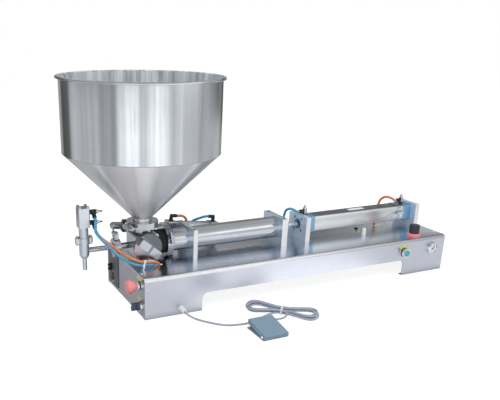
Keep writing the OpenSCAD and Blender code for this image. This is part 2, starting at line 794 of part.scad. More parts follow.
// Black collar on the valve's neck, and the three joint gaskets
module valve_seals() {
  collar_end = joint_x - clamp_half - gap;
  color("black") placed() {
    difference() {
      xrod(block_x1 + gap, collar_end, tube_od + 5);
      xrod(block_x1 - 1, collar_end + 1, valve_neck_d + 2 * seat);
    }
    difference() {
      xrod(joint_x - gasket_t / 2, joint_x + gasket_t / 2, tube_flange);
      xrod(joint_x - 2, joint_x + 2, tube_bore);
    }
    difference() {
      xrod(outlet_joint - gasket_t / 2, outlet_joint + gasket_t / 2, outlet_flange);
      xrod(outlet_joint - 2, outlet_joint + 2, pipe_d);
    }
    difference() {
      zrod(hopper_joint - gasket_t / 2, hopper_joint + gasket_t / 2, hopper_flange, valve_x, axis_y);
      zrod(hopper_joint - 2, hopper_joint + 2, neck_od - 2 * hopper_t, valve_x, axis_y);
    }
  }
}

// Core with a T passage, spindles at both ends and a slotted bar across the front
module valve_core() {
  core_end = block_y1 - back_wall - 0.5;
  bar_t = 14;
  bar_w = 23;
  bar_y = block_y0 - cover_t - 2;
  color("darkgray") placed() {
    difference() {
      yrod(block_y0 + 0.5, core_end, core_d, valve_x, axis_z);
      zrod(axis_z - core_d, axis_z + core_d, port_d, valve_x, axis_y);
      xrod(valve_x, valve_x + core_d, port_d);
    }
    yrod(bar_y - 1, block_y0 + 1, front_spindle_d, valve_x, axis_z);
    yrod(core_end - 1, lever_y + lever_t + 4, rear_spindle_d, valve_x, axis_z);
    translate([valve_x, bar_y, axis_z]) rotate([90, 40, 0]) difference() {
      linear_extrude(bar_t) round_rect(bar_l, bar_w, 4);
      translate([-5, -bar_w, 0.45 * bar_t]) cube([10, 2 * bar_w, bar_t]);
    }
  }
}

// Lever on the core's rear spindle, with the pin that drives it
module valve_lever() {
  hub = 32;
  color("silver") placed() act_frame() rotate([0, -45, 0]) {
    difference() {
      union() {
        yrod(lever_y, lever_y + lever_t, hub, 0, 0);
        along_y(lever_y, lever_y + lever_t)
          polygon([[-hub / 2, 0], [hub / 2, 0], [8, lever_r], [-8, lever_r]]);
        yrod(lever_y, lever_y + lever_t, 16, 0, lever_r);
      }
      yrod(lever_y - 1, lever_y + lever_t + 1, rear_spindle_d + 2 * seat, 0, 0);
    }
    yrod(lever_y + lever_t - 1, act_y + yoke_t / 2 + 3, pin_d, 0, lever_r);
  }
}

module actuator_cylinder() {
  color("lightgray") placed() act_frame() difference() {
    union() {
      xrod(act_nose_s, act_front_s, 24, act_y, act_h);
      along_x(act_front_s, act_barrel_s) translate([act_y, act_h]) round_rect(act_head, act_head, 4);
      xrod(act_barrel_s, act_rear_s, act_bore + 5, act_y, act_h);
      along_x(act_rear_s, act_rear_s + act_head_l) translate([act_y, act_h])
        round_rect(act_head, act_head, 4);
    }
    xrod(act_nose_s - 1, act_barrel_s, act_rod_d + 2 * run, act_y, act_h);
    xrod(act_barrel_s - 1, act_rear_s + 1, act_bore, act_y, act_h);
  }
}

// Welded stand for the actuator: a foot strip with two posts cut to its slope
module actuator_bracket() {
  post = 22;
  strip = 4;
  color("gainsboro") placed() difference() {
    union() {
      translate([valve_x + act_front_s, act_y - 14, base_h])
        cube([act_rear_s + act_head_l - act_front_s, 28, strip]);
      for (s = [act_front_s, act_rear_s]) translate([valve_x + s + 4, act_y - post / 2, base_h])
        cube([post - 4, post, 1.5 * axis_h]);
    }
    act_frame() translate([-act_rear_s, act_y - act_head, act_h - act_head / 2])
      cube([4 * act_rear_s, 2 * act_head, 200]);
  }
}

// Sliding yoke: rod, piston, slotted plate for the lever pin, and a domed stop on its free end
module actuator_rod() {
  slot_low = lever_r * cos(45) - slot_play;
  slot_high = lever_r + slot_play;
  stop_d = 22;
  stop_l = 26;
  color("silver") placed() act_frame() translate([act_rest_s, 0, 0]) {
    difference() {
      along_y(act_y - yoke_t / 2, act_y + yoke_t / 2) translate([0, (slot_low + slot_high) / 2])
        round_rect(yoke_w, slot_high - slot_low + 24, 6);
      along_y(act_y - yoke_t, act_y + yoke_t) {
        w = pin_d + 2 * slot_play;
        translate([-w / 2, slot_low]) square([w, slot_high - slot_low]);
        for (z = [slot_low, slot_high]) translate([0, z]) circle(d = w);
      }
    }
    xrod(yoke_w / 2 - 1, act_barrel_s + 6 - act_rest_s, act_rod_d, act_y, act_h);
    xrod(act_barrel_s + 5 - act_rest_s, act_barrel_s + 19 - act_rest_s, act_bore - 2 * run, act_y, act_h);
    translate([-yoke_w / 2 + 1, act_y, act_h]) rotate([0, -90, 0]) turned()
      union() {
        square([stop_d / 2, stop_l]);
        translate([0, stop_l]) intersection() {
          circle(d = stop_d);
          square(stop_d);
        }
      }
  }
}

// A push-in elbow on a head: hex foot, rising body and an arm along +X
module elbow_fitting() {
  cylinder(h = 4, d = 13, $fn = 6);
  difference() {
    union() {
      cylinder(h = elbow_rise, d = elbow_d);
      translate([0, 0, elbow_rise]) sphere(d = elbow_d);
      translate([0, 0, elbow_rise]) rotate([0, 90, 0]) cylinder(h = elbow_arm, d = elbow_d);
    }
    translate([elbow_arm - 8, 0, elbow_rise]) rotate([0, 90, 0]) cylinder(h = 9, d = hose_d + 2 * seat);
  }
}

// Body of a flow control: hex foot, round body with a needle bore, and a hose arm along -X
module flow_body() {
  difference() {
    union() {
      cylinder(h = 5, d = 15, $fn = 6);
      translate([0, 0, 5]) cylinder(h = flow_h - 5, d = 14);
      translate([0, 0, flow_arm_z]) rotate([0, -90, 0]) cylinder(h = flow_arm, d = 12);
    }
    translate([0, 0, flow_h - 6]) cylinder(h = 7, d = knob_bore + 2 * run);
    translate([-flow_arm + 8, 0, flow_arm_z]) rotate([0, -90, 0]) cylinder(h = 9, d = hose_d + 2 * seat);
  }
}

// Adjusting needle of a flow control, turned by hand
module flow_needle() {
  turned() polygon([[0, flow_h - 5.5], [knob_bore / 2, flow_h - 5.5], [knob_bore / 2, flow_h + gap],
    [6, flow_h + gap], [6, flow_h + 2.4], [5.4, flow_h + 4], [3.8, flow_h + 8], [3.4, flow_h + 9.6],
    [2.6, flow_h + 10.4], [0, flow_h + 10.4]]);
}

module on_nozzle(p) {
  translate(p) rotate([0, 90, 0]) rotate([0, 0, nozzle_arm_turn]) children();
}

module air_fittings() {
  color("black") placed() {
    translate(front_flow) flow_body();
    translate(rear_flow) flow_body();
    on_nozzle(upper_flow) flow_body();
    on_nozzle(lower_flow) flow_body();
    act_frame() translate([act_front_s + act_head_l / 2, act_y, act_h + act_head / 2]) elbow_fitting();
    act_frame() translate([act_rear_s + act_head_l / 2, act_y, act_h + act_head / 2]) rotate([0, 0, 180])
      elbow_fitting();
  }
}

module front_flow_knob() {
  color("silver") placed() translate(front_flow) flow_needle();
}

module rear_flow_knob() {
  color("silver") placed() translate(rear_flow) flow_needle();
}

module upper_nozzle_knob() {
  color("silver") placed() on_nozzle(upper_flow) flow_needle();
}

module lower_nozzle_knob() {
  color("silver") placed() on_nozzle(lower_flow) flow_needle();
}

module discharge_pipe() {
  face = outlet_joint - gasket_t / 2;
  color("silver") placed() {
    difference() {
      xrod(nozzle_x + nozzle_d / 2 - 2, face - flange_len, pipe_d);
      xrod(nozzle_x, face, pipe_d - 3);
    }
    translate([face, axis_y, axis_z]) rotate([0, -90, 0]) clamp_flange(pipe_d - 3, pipe_d, outlet_flange);
  }
}

// Two-bolt flange of the nozzle
module nozzle_flange(h) {
  linear_extrude(h) {
    circle(d = nozzle_d + 4);
    square([2 * nozzle_bolt, 14], center = true);
    for (x = [-1, 1]) translate([x * nozzle_bolt, 0]) circle(d = 13);
  }
}

module nozzle_body() {
  r = nozzle_d / 2;
  color("silver") placed() difference() {
    translate([nozzle_x, axis_y, 0]) {
      turned() polygon([[0, outlet_z], [outlet_d / 2, outlet_z], [outlet_d / 2, nozzle_low],
        [0.62 * r, nozzle_low], [r, nozzle_low + 9], [r, nozzle_split - bonnet_flange],
        [0, nozzle_split - bonnet_flange]]);
      translate([0, 0, nozzle_split - bonnet_flange]) nozzle_flange(bonnet_flange);
    }
    zrod(outlet_z - 1, nozzle_low + 12, outlet_bore, nozzle_x, axis_y);
    zrod(nozzle_low + 8, nozzle_split + 1, nozzle_d - 8, nozzle_x, axis_y);
    xrod(nozzle_x, nozzle_x + r + 1, pipe_d + 2 * seat);
    for (x = [-1, 1])
      zrod(nozzle_split - bonnet_flange - 1, nozzle_split + 1, 5.4, nozzle_x + x * nozzle_bolt, axis_y);
  }
}

module nozzle_bonnet() {
  color("silver") placed() difference() {
    translate([nozzle_x, axis_y, nozzle_split]) {
      nozzle_flange(bonnet_flange);
      cylinder(h = bonnet_top - nozzle_split, d = nozzle_d - 1);
    }
    zrod(nozzle_split - 1, bonnet_top + 1, stem_d + 2 * run, nozzle_x, axis_y);
    for (x = [-1, 1])
      zrod(nozzle_split - 1, nozzle_split + bonnet_flange + 1, 5.4, nozzle_x + x * nozzle_bolt, axis_y);
  }
}

module nozzle_cylinder() {
  color("lightgray") placed() difference() {
    translate([nozzle_x, axis_y, bonnet_top]) linear_extrude(nozzle_head_h)
      round_rect(nozzle_head, nozzle_head, 4.5);
    zrod(bonnet_top - 1, bonnet_top + 4, stem_d + 2 * seat, nozzle_x, axis_y);
    zrod(bonnet_top + 3, stem_piston + stem_piston_t + nozzle_lift + 2, nozzle_bore, nozzle_x, axis_y);
    for (x = [-1, 1], y = [-1, 1])
      zrod(nozzle_top - 13, nozzle_top + 1, 5.8, nozzle_x + x * corner_bolt, axis_y + y * corner_bolt);
  }
}

// Shut-off stem: plug on the outlet's seat, rod through the bonnet, piston in the air cylinder
module nozzle_stem() {
  plug_z = nozzle_low + 12.3;
  color("silver") placed() translate([nozzle_x, axis_y, 0]) turned()
    polygon([[0, plug_z - 3], [outlet_bore / 2 - 1, plug_z - 3], [outlet_bore / 2 + 1, plug_z],
      [outlet_bore / 2 + 1, plug_z + 5], [stem_d / 2, plug_z + 6], [stem_d / 2, stem_piston],
      [nozzle_bore / 2 - run, stem_piston], [nozzle_bore / 2 - run, stem_piston + stem_piston_t],
      [0, stem_piston + stem_piston_t]]);
}

// Hopper: spun cone and rolled wall of one sheet, beaded rim, neck and clamp flange
module hopper() {
  neck_r = neck_od / 2;
  face = hopper_joint + gasket_t / 2;
  color("silver") placed() translate([valve_x, axis_y, 0]) {
    turned() {
      difference() {
        polygon([[0, face + flange_len - 1], [neck_r, face + flange_len - 1], [neck_r, cone_z],
          [hopper_r, wall_z], [hopper_r, hopper_top - rim_d / 2], [0, hopper_top - rim_d / 2]]);
        polygon([[-1, 0], [neck_r - hopper_t, 0], [neck_r - hopper_t, cone_z + 0.6],
          [hopper_r - hopper_t, wall_z + 0.6], [hopper_r - hopper_t, hopper_top + 1],
          [-1, hopper_top + 1]]);
      }
      translate([rim_r - rim_d / 2, hopper_top - rim_d / 2]) circle(d = rim_d);
      translate([hopper_r - hopper_t, hopper_top - rim_d / 2 - hopper_t])
        square([rim_r - rim_d / 2 - hopper_r + hopper_t, hopper_t]);
    }
    translate([0, 0, face]) clamp_flange(neck_od - 2 * hopper_t, neck_od, hopper_flange);
  }
}

// Two-piece pipe clamp about Z: ears towards +X, bolt along +Y, hinge lugs towards -X
clamp_half = 9;
ear_reach = 18;
bolt_reach = 11;
ear_t = 8;
bolt_d = 6;

module pipe_clamp(pipe, flange) {
  ring = flange / 2 + 8;
  lip = gasket_t / 2 + flange_lip + gap;
  foot = gasket_t / 2 + flange_len + gap;
  inner = pipe / 2 + 2;
  difference() {
    union() {
      turned() difference() {
        translate([inner, -clamp_half]) square([ring - inner, 2 * clamp_half]);
        polygon([[inner - 1, -foot], [flange / 2 + gap, -lip], [flange / 2 + gap, lip], [inner - 1, foot]]);
      }
      translate([ring - 4, -ear_t - 1, -6]) cube([ear_reach + 4, 2 * ear_t + 2, 12]);
      translate([-ring - 7, -6, -6]) cube([10, 12, 12]);
    }
    translate([-2 * ring, -1, -clamp_half - 1]) cube([4 * ring, 2, 2 * clamp_half + 2]);
    yrod(-ear_t - 2, ear_t + 2, bolt_d + 2 * gap, ring + bolt_reach, 0);
    zrod(-7, 7, 5, -ring - 3, 0);
  }
  zrod(-6, 6, 5 - 2 * seat, -ring - 3, 0);
  yrod(-ear_t - 1, ear_t + 19, bolt_d, ring + bolt_reach, 0);
  yrod(-ear_t - 6, -ear_t - 1, 11, ring + bolt_reach, 0);
}

module wing_nut(flange) {
  ring = flange / 2 + 8;
  translate([ring + bolt_reach, ear_t + 1 + gap, 0]) difference() {
    union() {
      yrod(0, 11, 12, 0, 0);
      for (s = [0, 180]) rotate([0, s, 0]) translate([5, 7, -1.5]) rotate([0, 0, 55]) linear_extrude(3) {
        polygon([[-2, -3.5], [11, -3], [11, 3], [-2, 3.5]]);
        translate([11, 0]) circle(d = 7.5);
      }
    }
    yrod(-1, 40, bolt_d + 2 * run, 0, 0);
  }
}

module at_tube_clamp() {
  translate([joint_x, axis_y, axis_z]) rotate([70, 0, 0]) rotate([0, -90, 0]) children();
}

module at_outlet_clamp() {
  translate([outlet_joint, axis_y, axis_z]) rotate([0, -90, 0]) children();
}

module at_hopper_clamp() {
  translate([valve_x, axis_y, hopper_joint]) rotate([0, 0, 200]) children();
}

module pipe_clamps() {
  color("silver") placed() {
    at_tube_clamp() pipe_clamp(tube_od, tube_flange);
    at_outlet_clamp() pipe_clamp(spigot_od, outlet_flange);
    at_hopper_clamp() pipe_clamp(neck_od, hopper_flange);
  }
}

module hopper_wing_nut() {
  color("silver") placed() at_hopper_clamp() wing_nut(hopper_flange);
}

module tube_wing_nut() {
  color("silver") placed() at_tube_clamp() wing_nut(tube_flange);
}

module outlet_wing_nut() {
  color("silver") placed() at_outlet_clamp() wing_nut(outlet_flange);
}

hose_sides = 10;

module blue_hoses() {
  color("deepskyblue") placed() {
    tube_along(curve(route_nozzle_blue, 3), hose_d, hose_sides);
    tube_along(curve(route_front, 3), hose_d, hose_sides);
    tube_along(curve(route_act_blue, 3), hose_d, hose_sides);
  }
}

module orange_hoses() {
  color("orange") placed() {
    tube_along(curve(route_nozzle_orange, 3), hose_d, hose_sides);
    tube_along(curve(route_rear, 3), hose_d, hose_sides);
    tube_along(curve(route_act_orange, 3), hose_d, hose_sides);
  }
}

// White ties: one round the two nozzle hoses in front of the valve, one round the hank's waist
hose_tie_at = [30, 84.4, base_h + 22.4];

module cable_ties() {
  h = hank_z + hank_rise + cord_d / 2 + gap;
  w = 2 * hank_waist + cord_d + 2 * gap;
  color("white") placed() {
    translate(hose_tie_at) rotate([0, 20, 0]) along_x(-2.5, 2.5) difference() {
      round_rect(hose_d + 4.5, 2 * hose_d + 6.6, 5);
      round_rect(hose_d + 2.5, 2 * hose_d + 4.6, 4);
    }
    translate([hank_at[0], hank_at[1], 0]) rotate([0, 0, hank_turn]) along_x(-2.5, 2.5) difference() {
      translate([-w / 2 - tie_t, 0]) square([w + 2 * tie_t, h + 2 * tie_t]);
      translate([-w / 2, tie_t]) square([w, h]);
    }
  }
}

// Reed switch on the barrel's front face, with the strap that holds it
module sensor_switch() {
  strap = 12;
  reach = barrel_size + 2 * seat;
  color("gainsboro") placed() {
    along_x(sensor_x + 6, sensor_x + 6 + strap) translate([axis_y, axis_z]) difference() {
      round_rect(reach + 2, reach + 2, barrel_corner + 1);
      round_rect(reach, reach, barrel_corner);
    }
    translate([sensor_x, sensor_y - 4, wire_z - 5]) cube([sensor_len, 6.6, 10]);
  }
}

module sensor_wire() {
  color("lightgray") placed() {
    tube_along(curve(wire_route_a, 5), wire_d, 8);
    tube_along(curve(wire_route_b, 5), wire_d, 8);
    xrod(sleeve_x, sleeve_x + sleeve_l, sleeve_d, sleeve_y, sleeve_z);
  }
}

// A cable gland standing on the XY plane: nut, domed cap and a neck through the panel
module gland(d, h, neck, bore) {
  difference() {
    union() {
      cylinder(h = 0.3 * h, d = d, $fn = 6);
      turned() polygon([[0, -6], [neck / 2, -6], [neck / 2, 0], [0.45 * d, 0], [0.45 * d, 0.7 * h],
        [0.32 * d, h], [0, h]]);
    }
    translate([0, 0, -7]) cylinder(h = h + 8, d = bore);
  }
}

module cord_glands() {
  color("white") placed() {
    translate([cord_gland[0], 0, cord_gland[1]]) rotate([90, 0, 0]) gland(19, 27, 12, cord_d + 2 * gap);
    translate([wire_gland[0], wire_gland[1], base_h]) gland(14, wire_gland_h, 10, wire_d + 2 * gap);
  }
}

// Chrome collars of the three panel controls, drawn standing on the XY plane
module control_collar(bezel_z, bezel_h, top, bore, depth, d) {
  difference() {
    union() {
      translate([0, 0, -24]) cylinder(h = 24, d = button_hole - 2 * gap);
      cylinder(h = 4, d = d);
      cylinder(h = top, d = d - 5);
      translate([0, 0, bezel_z]) cylinder(h = bezel_h, d = d);
    }
    translate([0, 0, top - depth]) cylinder(h = depth + 1, d = bore + 2 * run);
  }
}

start_bore = 22;
start_reach = 16;
estop_stem = 14;
estop_top = 16;
estop_collar = 25;
selector_stem = 10;

module button_collars() {
  color("silver") placed() {
    translate([0, estop[0], estop[1]]) rotate([0, -90, 0])
      control_collar(estop_top - 9, 4, estop_top, estop_stem, 26, estop_collar);
    translate([0, selector[0], selector[1]]) rotate([0, -90, 0])
      control_collar(4, 5, 9, selector_stem, 16, collar_d);
    translate([start[0], 0, start[1]]) rotate([90, 0, 0])
      control_collar(start_reach - 12, 12, start_reach, start_bore, 13, collar_d);
  }
}

module estop_button() {
  r = estop_d / 2;
  low = estop_top + 2 + estop_push;
  color("red") placed() translate([0, estop[0], estop[1]]) rotate([0, -90, 0]) turned()
    polygon([[0, -3], [estop_stem / 2, -3], [estop_stem / 2, low], [0.74 * r, low], [0.8 * r, low + 1.5],
      [0.82 * r, low + 8], [0.97 * r, low + 9.5], [r, low + 11], [r, low + 15], [0.94 * r, low + 18.5],
      [0.8 * r, low + 21], [0.5 * r, low + 22.2], [0, low + 22.5]]);
}

// Selector with a raised grip across its face
module selector_knob() {
  face = 9 + gap;
  color("black") placed() translate([0, selector[0], selector[1]]) rotate([0, -90, 0]) {
    translate([0, 0, -5]) cylinder(h = face + 6, d = selector_stem);
    translate([0, 0, face]) cylinder(h = 7, d = 23);
    translate([0, 0, face + 6]) linear_extrude(15) round_rect(22, 9, 3);
  }
}

module start_button() {
  color("teal") placed() translate([start[0], 0, start[1]]) rotate([90, 0, 0])
    turned() polygon([[0, start_reach - 12 + start_push], [start_bore / 2, start_reach - 12 + start_push],
      [start_bore / 2, start_reach + 1.5], [start_bore / 2 - 1, start_reach + 2.5], [0, start_reach + 3]]);
}

// Gauge: a cup through the panel with a bezel, dial floor and pivot hole
module gauge_case() {
  r = gauge_d / 2;
  color("gainsboro") placed() translate([gauge[0], 0, gauge[1]]) rotate([90, 0, 0]) difference() {
    turned() polygon([[0, -26], [r - 2.2, -26], [r - 2.2, 0], [r, 0], [r, 8], [r - 1, 9],
      [r - 2.6, 9], [r - 2.6, 3], [0, 3]]);
    translate([0, 0, -5]) cylinder(h = 10, d = 2 + 2 * run);
  }
}

module gauge_lens() {
  color("white", 0.4) placed() translate([gauge[0], 0, gauge[1]]) rotate([90, 0, 0])
    translate([0, 0, 7]) cylinder(h = 1.5, d = gauge_d - 5.2 - 2 * seat);
}

module gauge_needle() {
  l = 0.32 * gauge_d;
  color("black") placed() translate([gauge[0], 0, gauge[1]]) rotate([90, 0, 0])
    rotate([0, 0, 90 - needle_rest]) {
    translate([0, 0, -4]) cylinder(h = 8, d = 2);
    translate([0, 0, 4]) cylinder(h = 1.6, d = 5);
    translate([0, 0, 4.3]) linear_extrude(0.9)
      polygon([[-6, -1.4], [0, -1], [l, -0.4], [l, 0.4], [0, 1], [-6, 1.4]]);
  }
}

// Red lock ring on the deck with the regulator's body under it
module regulator_ring() {
  color("crimson") placed() translate([regulator[0], regulator[1], base_h]) difference() {
    turned() polygon([[0, -52], [15, -52], [15, 0], [21, 0], [21, 4],
      [knob_d / 2 + 3, ring_h], [0, ring_h]]);
    translate([0, 0, ring_h - 12]) cylinder(h = 13, d = 12 + 2 * run);
  }
}

module regulator_knob() {
  low = ring_h + gap;
  ribs = 24;
  color("black") placed() translate([regulator[0], regulator[1], base_h]) {
    translate([0, 0, low - 10]) cylinder(h = 11, d = 12);
    translate([0, 0, low]) linear_extrude(knob_h) difference() {
      circle(d = knob_d);
      for (a = [0 : 360 / ribs : 359]) rotate(a) translate([knob_d / 2 + 0.4, 0]) circle(d = 2.2);
    }
  }
}

// Directional valves on their manifold, screwed under the deck
module air_valve_block() {
  at = [600, 110];
  color("silver") placed() translate([at[0], at[1], base_h - sheet_t]) {
    translate([0, 0, -14]) cube([120, 70, 14]);
    for (i = [0 : 2]) translate([8 + 37 * i, 6, -40]) cube([30, 58, 26]);
  }
}

module pedal_cord() {
  color("lightslategray") placed() {
    tube_along(curve(route_gland, 3), cord_d, 8);
    tube_along(curve(route_pedal, 3), cord_d, 8);
  }
}

hank_path = [for (i = [0 : hank_loops * hank_rings]) hank_point(i / hank_rings)];
hank_gap = min([for (i = [0 : len(hank_path) - 1], j = [i + 1 : 1 : len(hank_path) - 1])
  if (j - i > hank_rings / 4) norm(hank_path[j] - hank_path[i])]) - cord_d;
echo(hank_gap = hank_gap, hank_length = path_length(hank_path));

module cord_hank() {
  color("lightslategray") placed() tube_along(hank_path, cord_d, 6);
}

// Pedal: floor plate with a switch block, pivot lugs and the pivot pin
module pedal_base() {
  lug = 4;
  pin_w = tread_w + 2;
  color("steelblue") placed() translate([pedal_x, 0, 0]) {
    translate([-1, pedal_y + 5, 0]) cube([tread_w + 2, tread_l - 4, pedal_plate]);
    translate([cord_entry[0] - pedal_x - 6, pedal_y + tread_l - 4, 0]) cube([12, 5, 8.5]);
    translate([20, pedal_y + 40, 3]) cube([tread_w - 40, 44, 9]);
    for (x = [tread_wall + 0.5, tread_w - tread_wall - 0.5 - lug])
      translate([x, tread_pivot[0] - 5, 3]) cube([lug, 10, tread_pivot[1]]);
    translate([-1, tread_pivot[0], tread_pivot[1]]) rotate([0, 90, 0]) cylinder(h = pin_w, d = pivot_d);
  }
}

// Tread: a wedge-shaped cover, open below, on the pivot pin
module pedal_tread() {
  back = pedal_y + tread_l;
  rise = (tread_high - tread_low) / tread_l;
  color("steelblue") placed() difference() {
    along_x(pedal_x, pedal_x + tread_w)
      polygon([[pedal_y, 5.2], [pedal_y, tread_low - 2], [pedal_y + 2, tread_low], [back - 2, tread_high],
        [back, tread_high - 2], [back, 14], [tread_pivot[0] + 8, 5.2]]);
    along_x(pedal_x + tread_wall, pedal_x + tread_w - tread_wall)
      polygon([[pedal_y + tread_wall, -1], [pedal_y + tread_wall, tread_low - tread_wall],
        [back - tread_wall, tread_high - 2 * rise - tread_wall], [back - tread_wall, -1]]);
    translate([pedal_x - 1, tread_pivot[0], tread_pivot[1]]) rotate([0, 90, 0])
      cylinder(h = tread_w + 2, d = pivot_d + 2 * run);
  }
}

module piston_rod() {
  air_end = air_piston_x + air_piston_t;
  color("white") placed() {
    xrod(piston_x + 8, rod_seat + 1, spigot_d);
    xrod(rod_seat, air_piston_x, rod_d);
    xrod(air_piston_x - 1, air_end + 1, 12);
    translate([air_end, axis_y, axis_z]) rotate([0, 90, 0]) cylinder(h = 9, d = 22, $fn = 6);
  }
}

// Metering piston with two seal grooves
module metering_piston() {
  color("white") placed() difference() {
    xrod(piston_x, rod_seat, tube_bore - 2 * run);
    xrod(piston_x + 7, rod_seat + 1, spigot_d + 2 * seat);
    for (x = [0.25, 0.75]) difference() {
      xrod(piston_x + x * piston_t - 2, piston_x + x * piston_t + 2, tube_od);
      xrod(piston_x, rod_seat, tube_bore - 5);
    }
  }
}

module air_piston() {
  color("dimgray") placed() difference() {
    xrod(air_piston_x, air_piston_x + air_piston_t, air_bore - 2 * run);
    xrod(air_piston_x - 1, air_piston_x + air_piston_t + 1, 12 + 2 * seat);
  }
}

base_cover();
end_panels();
panel_screws();
power_plate();
side_fittings();
rocker_switch();
tube_saddles();
socket_screws();
metering_cylinder();
rear_cap();
front_plate();
rear_plate();
air_heads();
air_barrel();
valve_body();
valve_cover();
valve_seals();
valve_core();
valve_lever();
actuator_cylinder();
actuator_bracket();
air_fittings();
actuator_rod();
discharge_pipe();
nozzle_body();
nozzle_bonnet();
nozzle_cylinder();
nozzle_stem();
hopper();
pipe_clamps();
hopper_wing_nut();
tube_wing_nut();
outlet_wing_nut();
front_flow_knob();
rear_flow_knob();
upper_nozzle_knob();
lower_nozzle_knob();
blue_hoses();
orange_hoses();
cable_ties();
sensor_switch();
sensor_wire();
cord_glands();
button_collars();
estop_button();
selector_knob();
start_button();
gauge_case();
gauge_lens();
gauge_needle();
regulator_ring();
regulator_knob();
air_valve_block();
pedal_cord();
cord_hank();
pedal_base();
pedal_tread();
piston_rod();
metering_piston();
air_piston();
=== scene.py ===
"""Bench-top piston paste filler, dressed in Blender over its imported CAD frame.

Sizes are in millimetres from the front left lower corner of the base, with X to the right,
Y to the back and Z up. place() turns them into metres in the frame.
"""

from __future__ import annotations

import json
import logging
import math
from dataclasses import dataclass
from enum import Enum
from typing import Iterable, Mapping, Sequence

import bmesh
import bpy
from mathutils import Matrix, Vector

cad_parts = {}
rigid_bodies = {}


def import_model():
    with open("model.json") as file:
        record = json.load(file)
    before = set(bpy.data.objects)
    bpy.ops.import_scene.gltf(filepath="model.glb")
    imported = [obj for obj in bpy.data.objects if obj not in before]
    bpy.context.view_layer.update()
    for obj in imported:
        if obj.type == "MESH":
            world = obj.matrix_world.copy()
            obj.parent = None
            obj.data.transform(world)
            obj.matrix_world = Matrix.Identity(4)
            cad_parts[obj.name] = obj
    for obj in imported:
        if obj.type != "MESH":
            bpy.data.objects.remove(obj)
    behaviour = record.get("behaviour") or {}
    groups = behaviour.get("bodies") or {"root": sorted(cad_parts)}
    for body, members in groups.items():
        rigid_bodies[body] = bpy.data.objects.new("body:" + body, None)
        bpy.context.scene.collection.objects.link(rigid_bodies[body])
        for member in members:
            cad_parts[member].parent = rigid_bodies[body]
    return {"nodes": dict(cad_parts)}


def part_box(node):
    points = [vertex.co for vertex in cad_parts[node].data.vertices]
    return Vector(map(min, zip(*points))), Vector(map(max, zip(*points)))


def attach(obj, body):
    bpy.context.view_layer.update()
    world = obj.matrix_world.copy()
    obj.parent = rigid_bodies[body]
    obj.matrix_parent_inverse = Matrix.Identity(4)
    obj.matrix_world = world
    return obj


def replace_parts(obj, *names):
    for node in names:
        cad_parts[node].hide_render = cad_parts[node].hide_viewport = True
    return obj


Point = tuple[float, float, float]
Pair = tuple[float, float]
Colour = tuple[float, float, float]
Stops = tuple[Pair, ...]
Socket = bpy.types.NodeSocket

MM = 0.001
ORIGIN = Vector((451.02, 72.73, 0.0))
LEFT, RIGHT, UP = Vector((-1, 0, 0)), Vector((1, 0, 0)), Vector((0, 0, 1))
FRONT, BACK = Vector((0, -1, 0)), Vector((0, 1, 0))
CAD_WELD = 0.000002
TURNED_WELD = 0.0000001
PLATE_POINTS = 32
RING_SECTION = 14
log = logging.getLogger("paste_filler")


def place(x: float, y: float, z: float) -> Vector:
    """Turn machine millimetres into metres in the frame."""
    return (Vector((x, y, z)) - ORIGIN) * MM


def smooth_line(points: Sequence[Point | Vector], steps: int) -> list[Vector]:
    """Draw a smooth line through route points.

    Args:
        points: Points that the line passes through.
        steps: Pieces between two neighbouring points.

    Returns:
        The points of the line, ends included.
    """
    spots = [Vector(point) for point in points]
    line: list[Vector] = []
    last = len(spots) - 1
    for i in range(last):
        a, b = spots[max(0, i - 1)], spots[i]
        c, d = spots[i + 1], spots[min(last, i + 2)]
        bend, twist = 2 * a - 5 * b + 4 * c - d, 3 * b - a - 3 * c + d
        for k in range(steps):
            t = k / steps
            line.append(0.5 * (2 * b + (c - a) * t + bend * t * t + twist * t * t * t))
    return [*line, spots[last]]


def placed_line(points: Sequence[Point | Vector], steps: int) -> list[Vector]:
    """Draw a smooth line through route points, in metres in the frame."""
    return [place(*spot) for spot in smooth_line(points, steps)]


def tint(colour: Colour, share: float = 1.0) -> tuple[float, float, float, float]:
    """Give a colour with its alpha, made darker or lighter by a share."""
    return (colour[0] * share, colour[1] * share, colour[2] * share, 1.0)


def grey(tone: float) -> tuple[float, float, float, float]:
    """Give a grey with its alpha."""
    return (tone, tone, tone, 1.0)


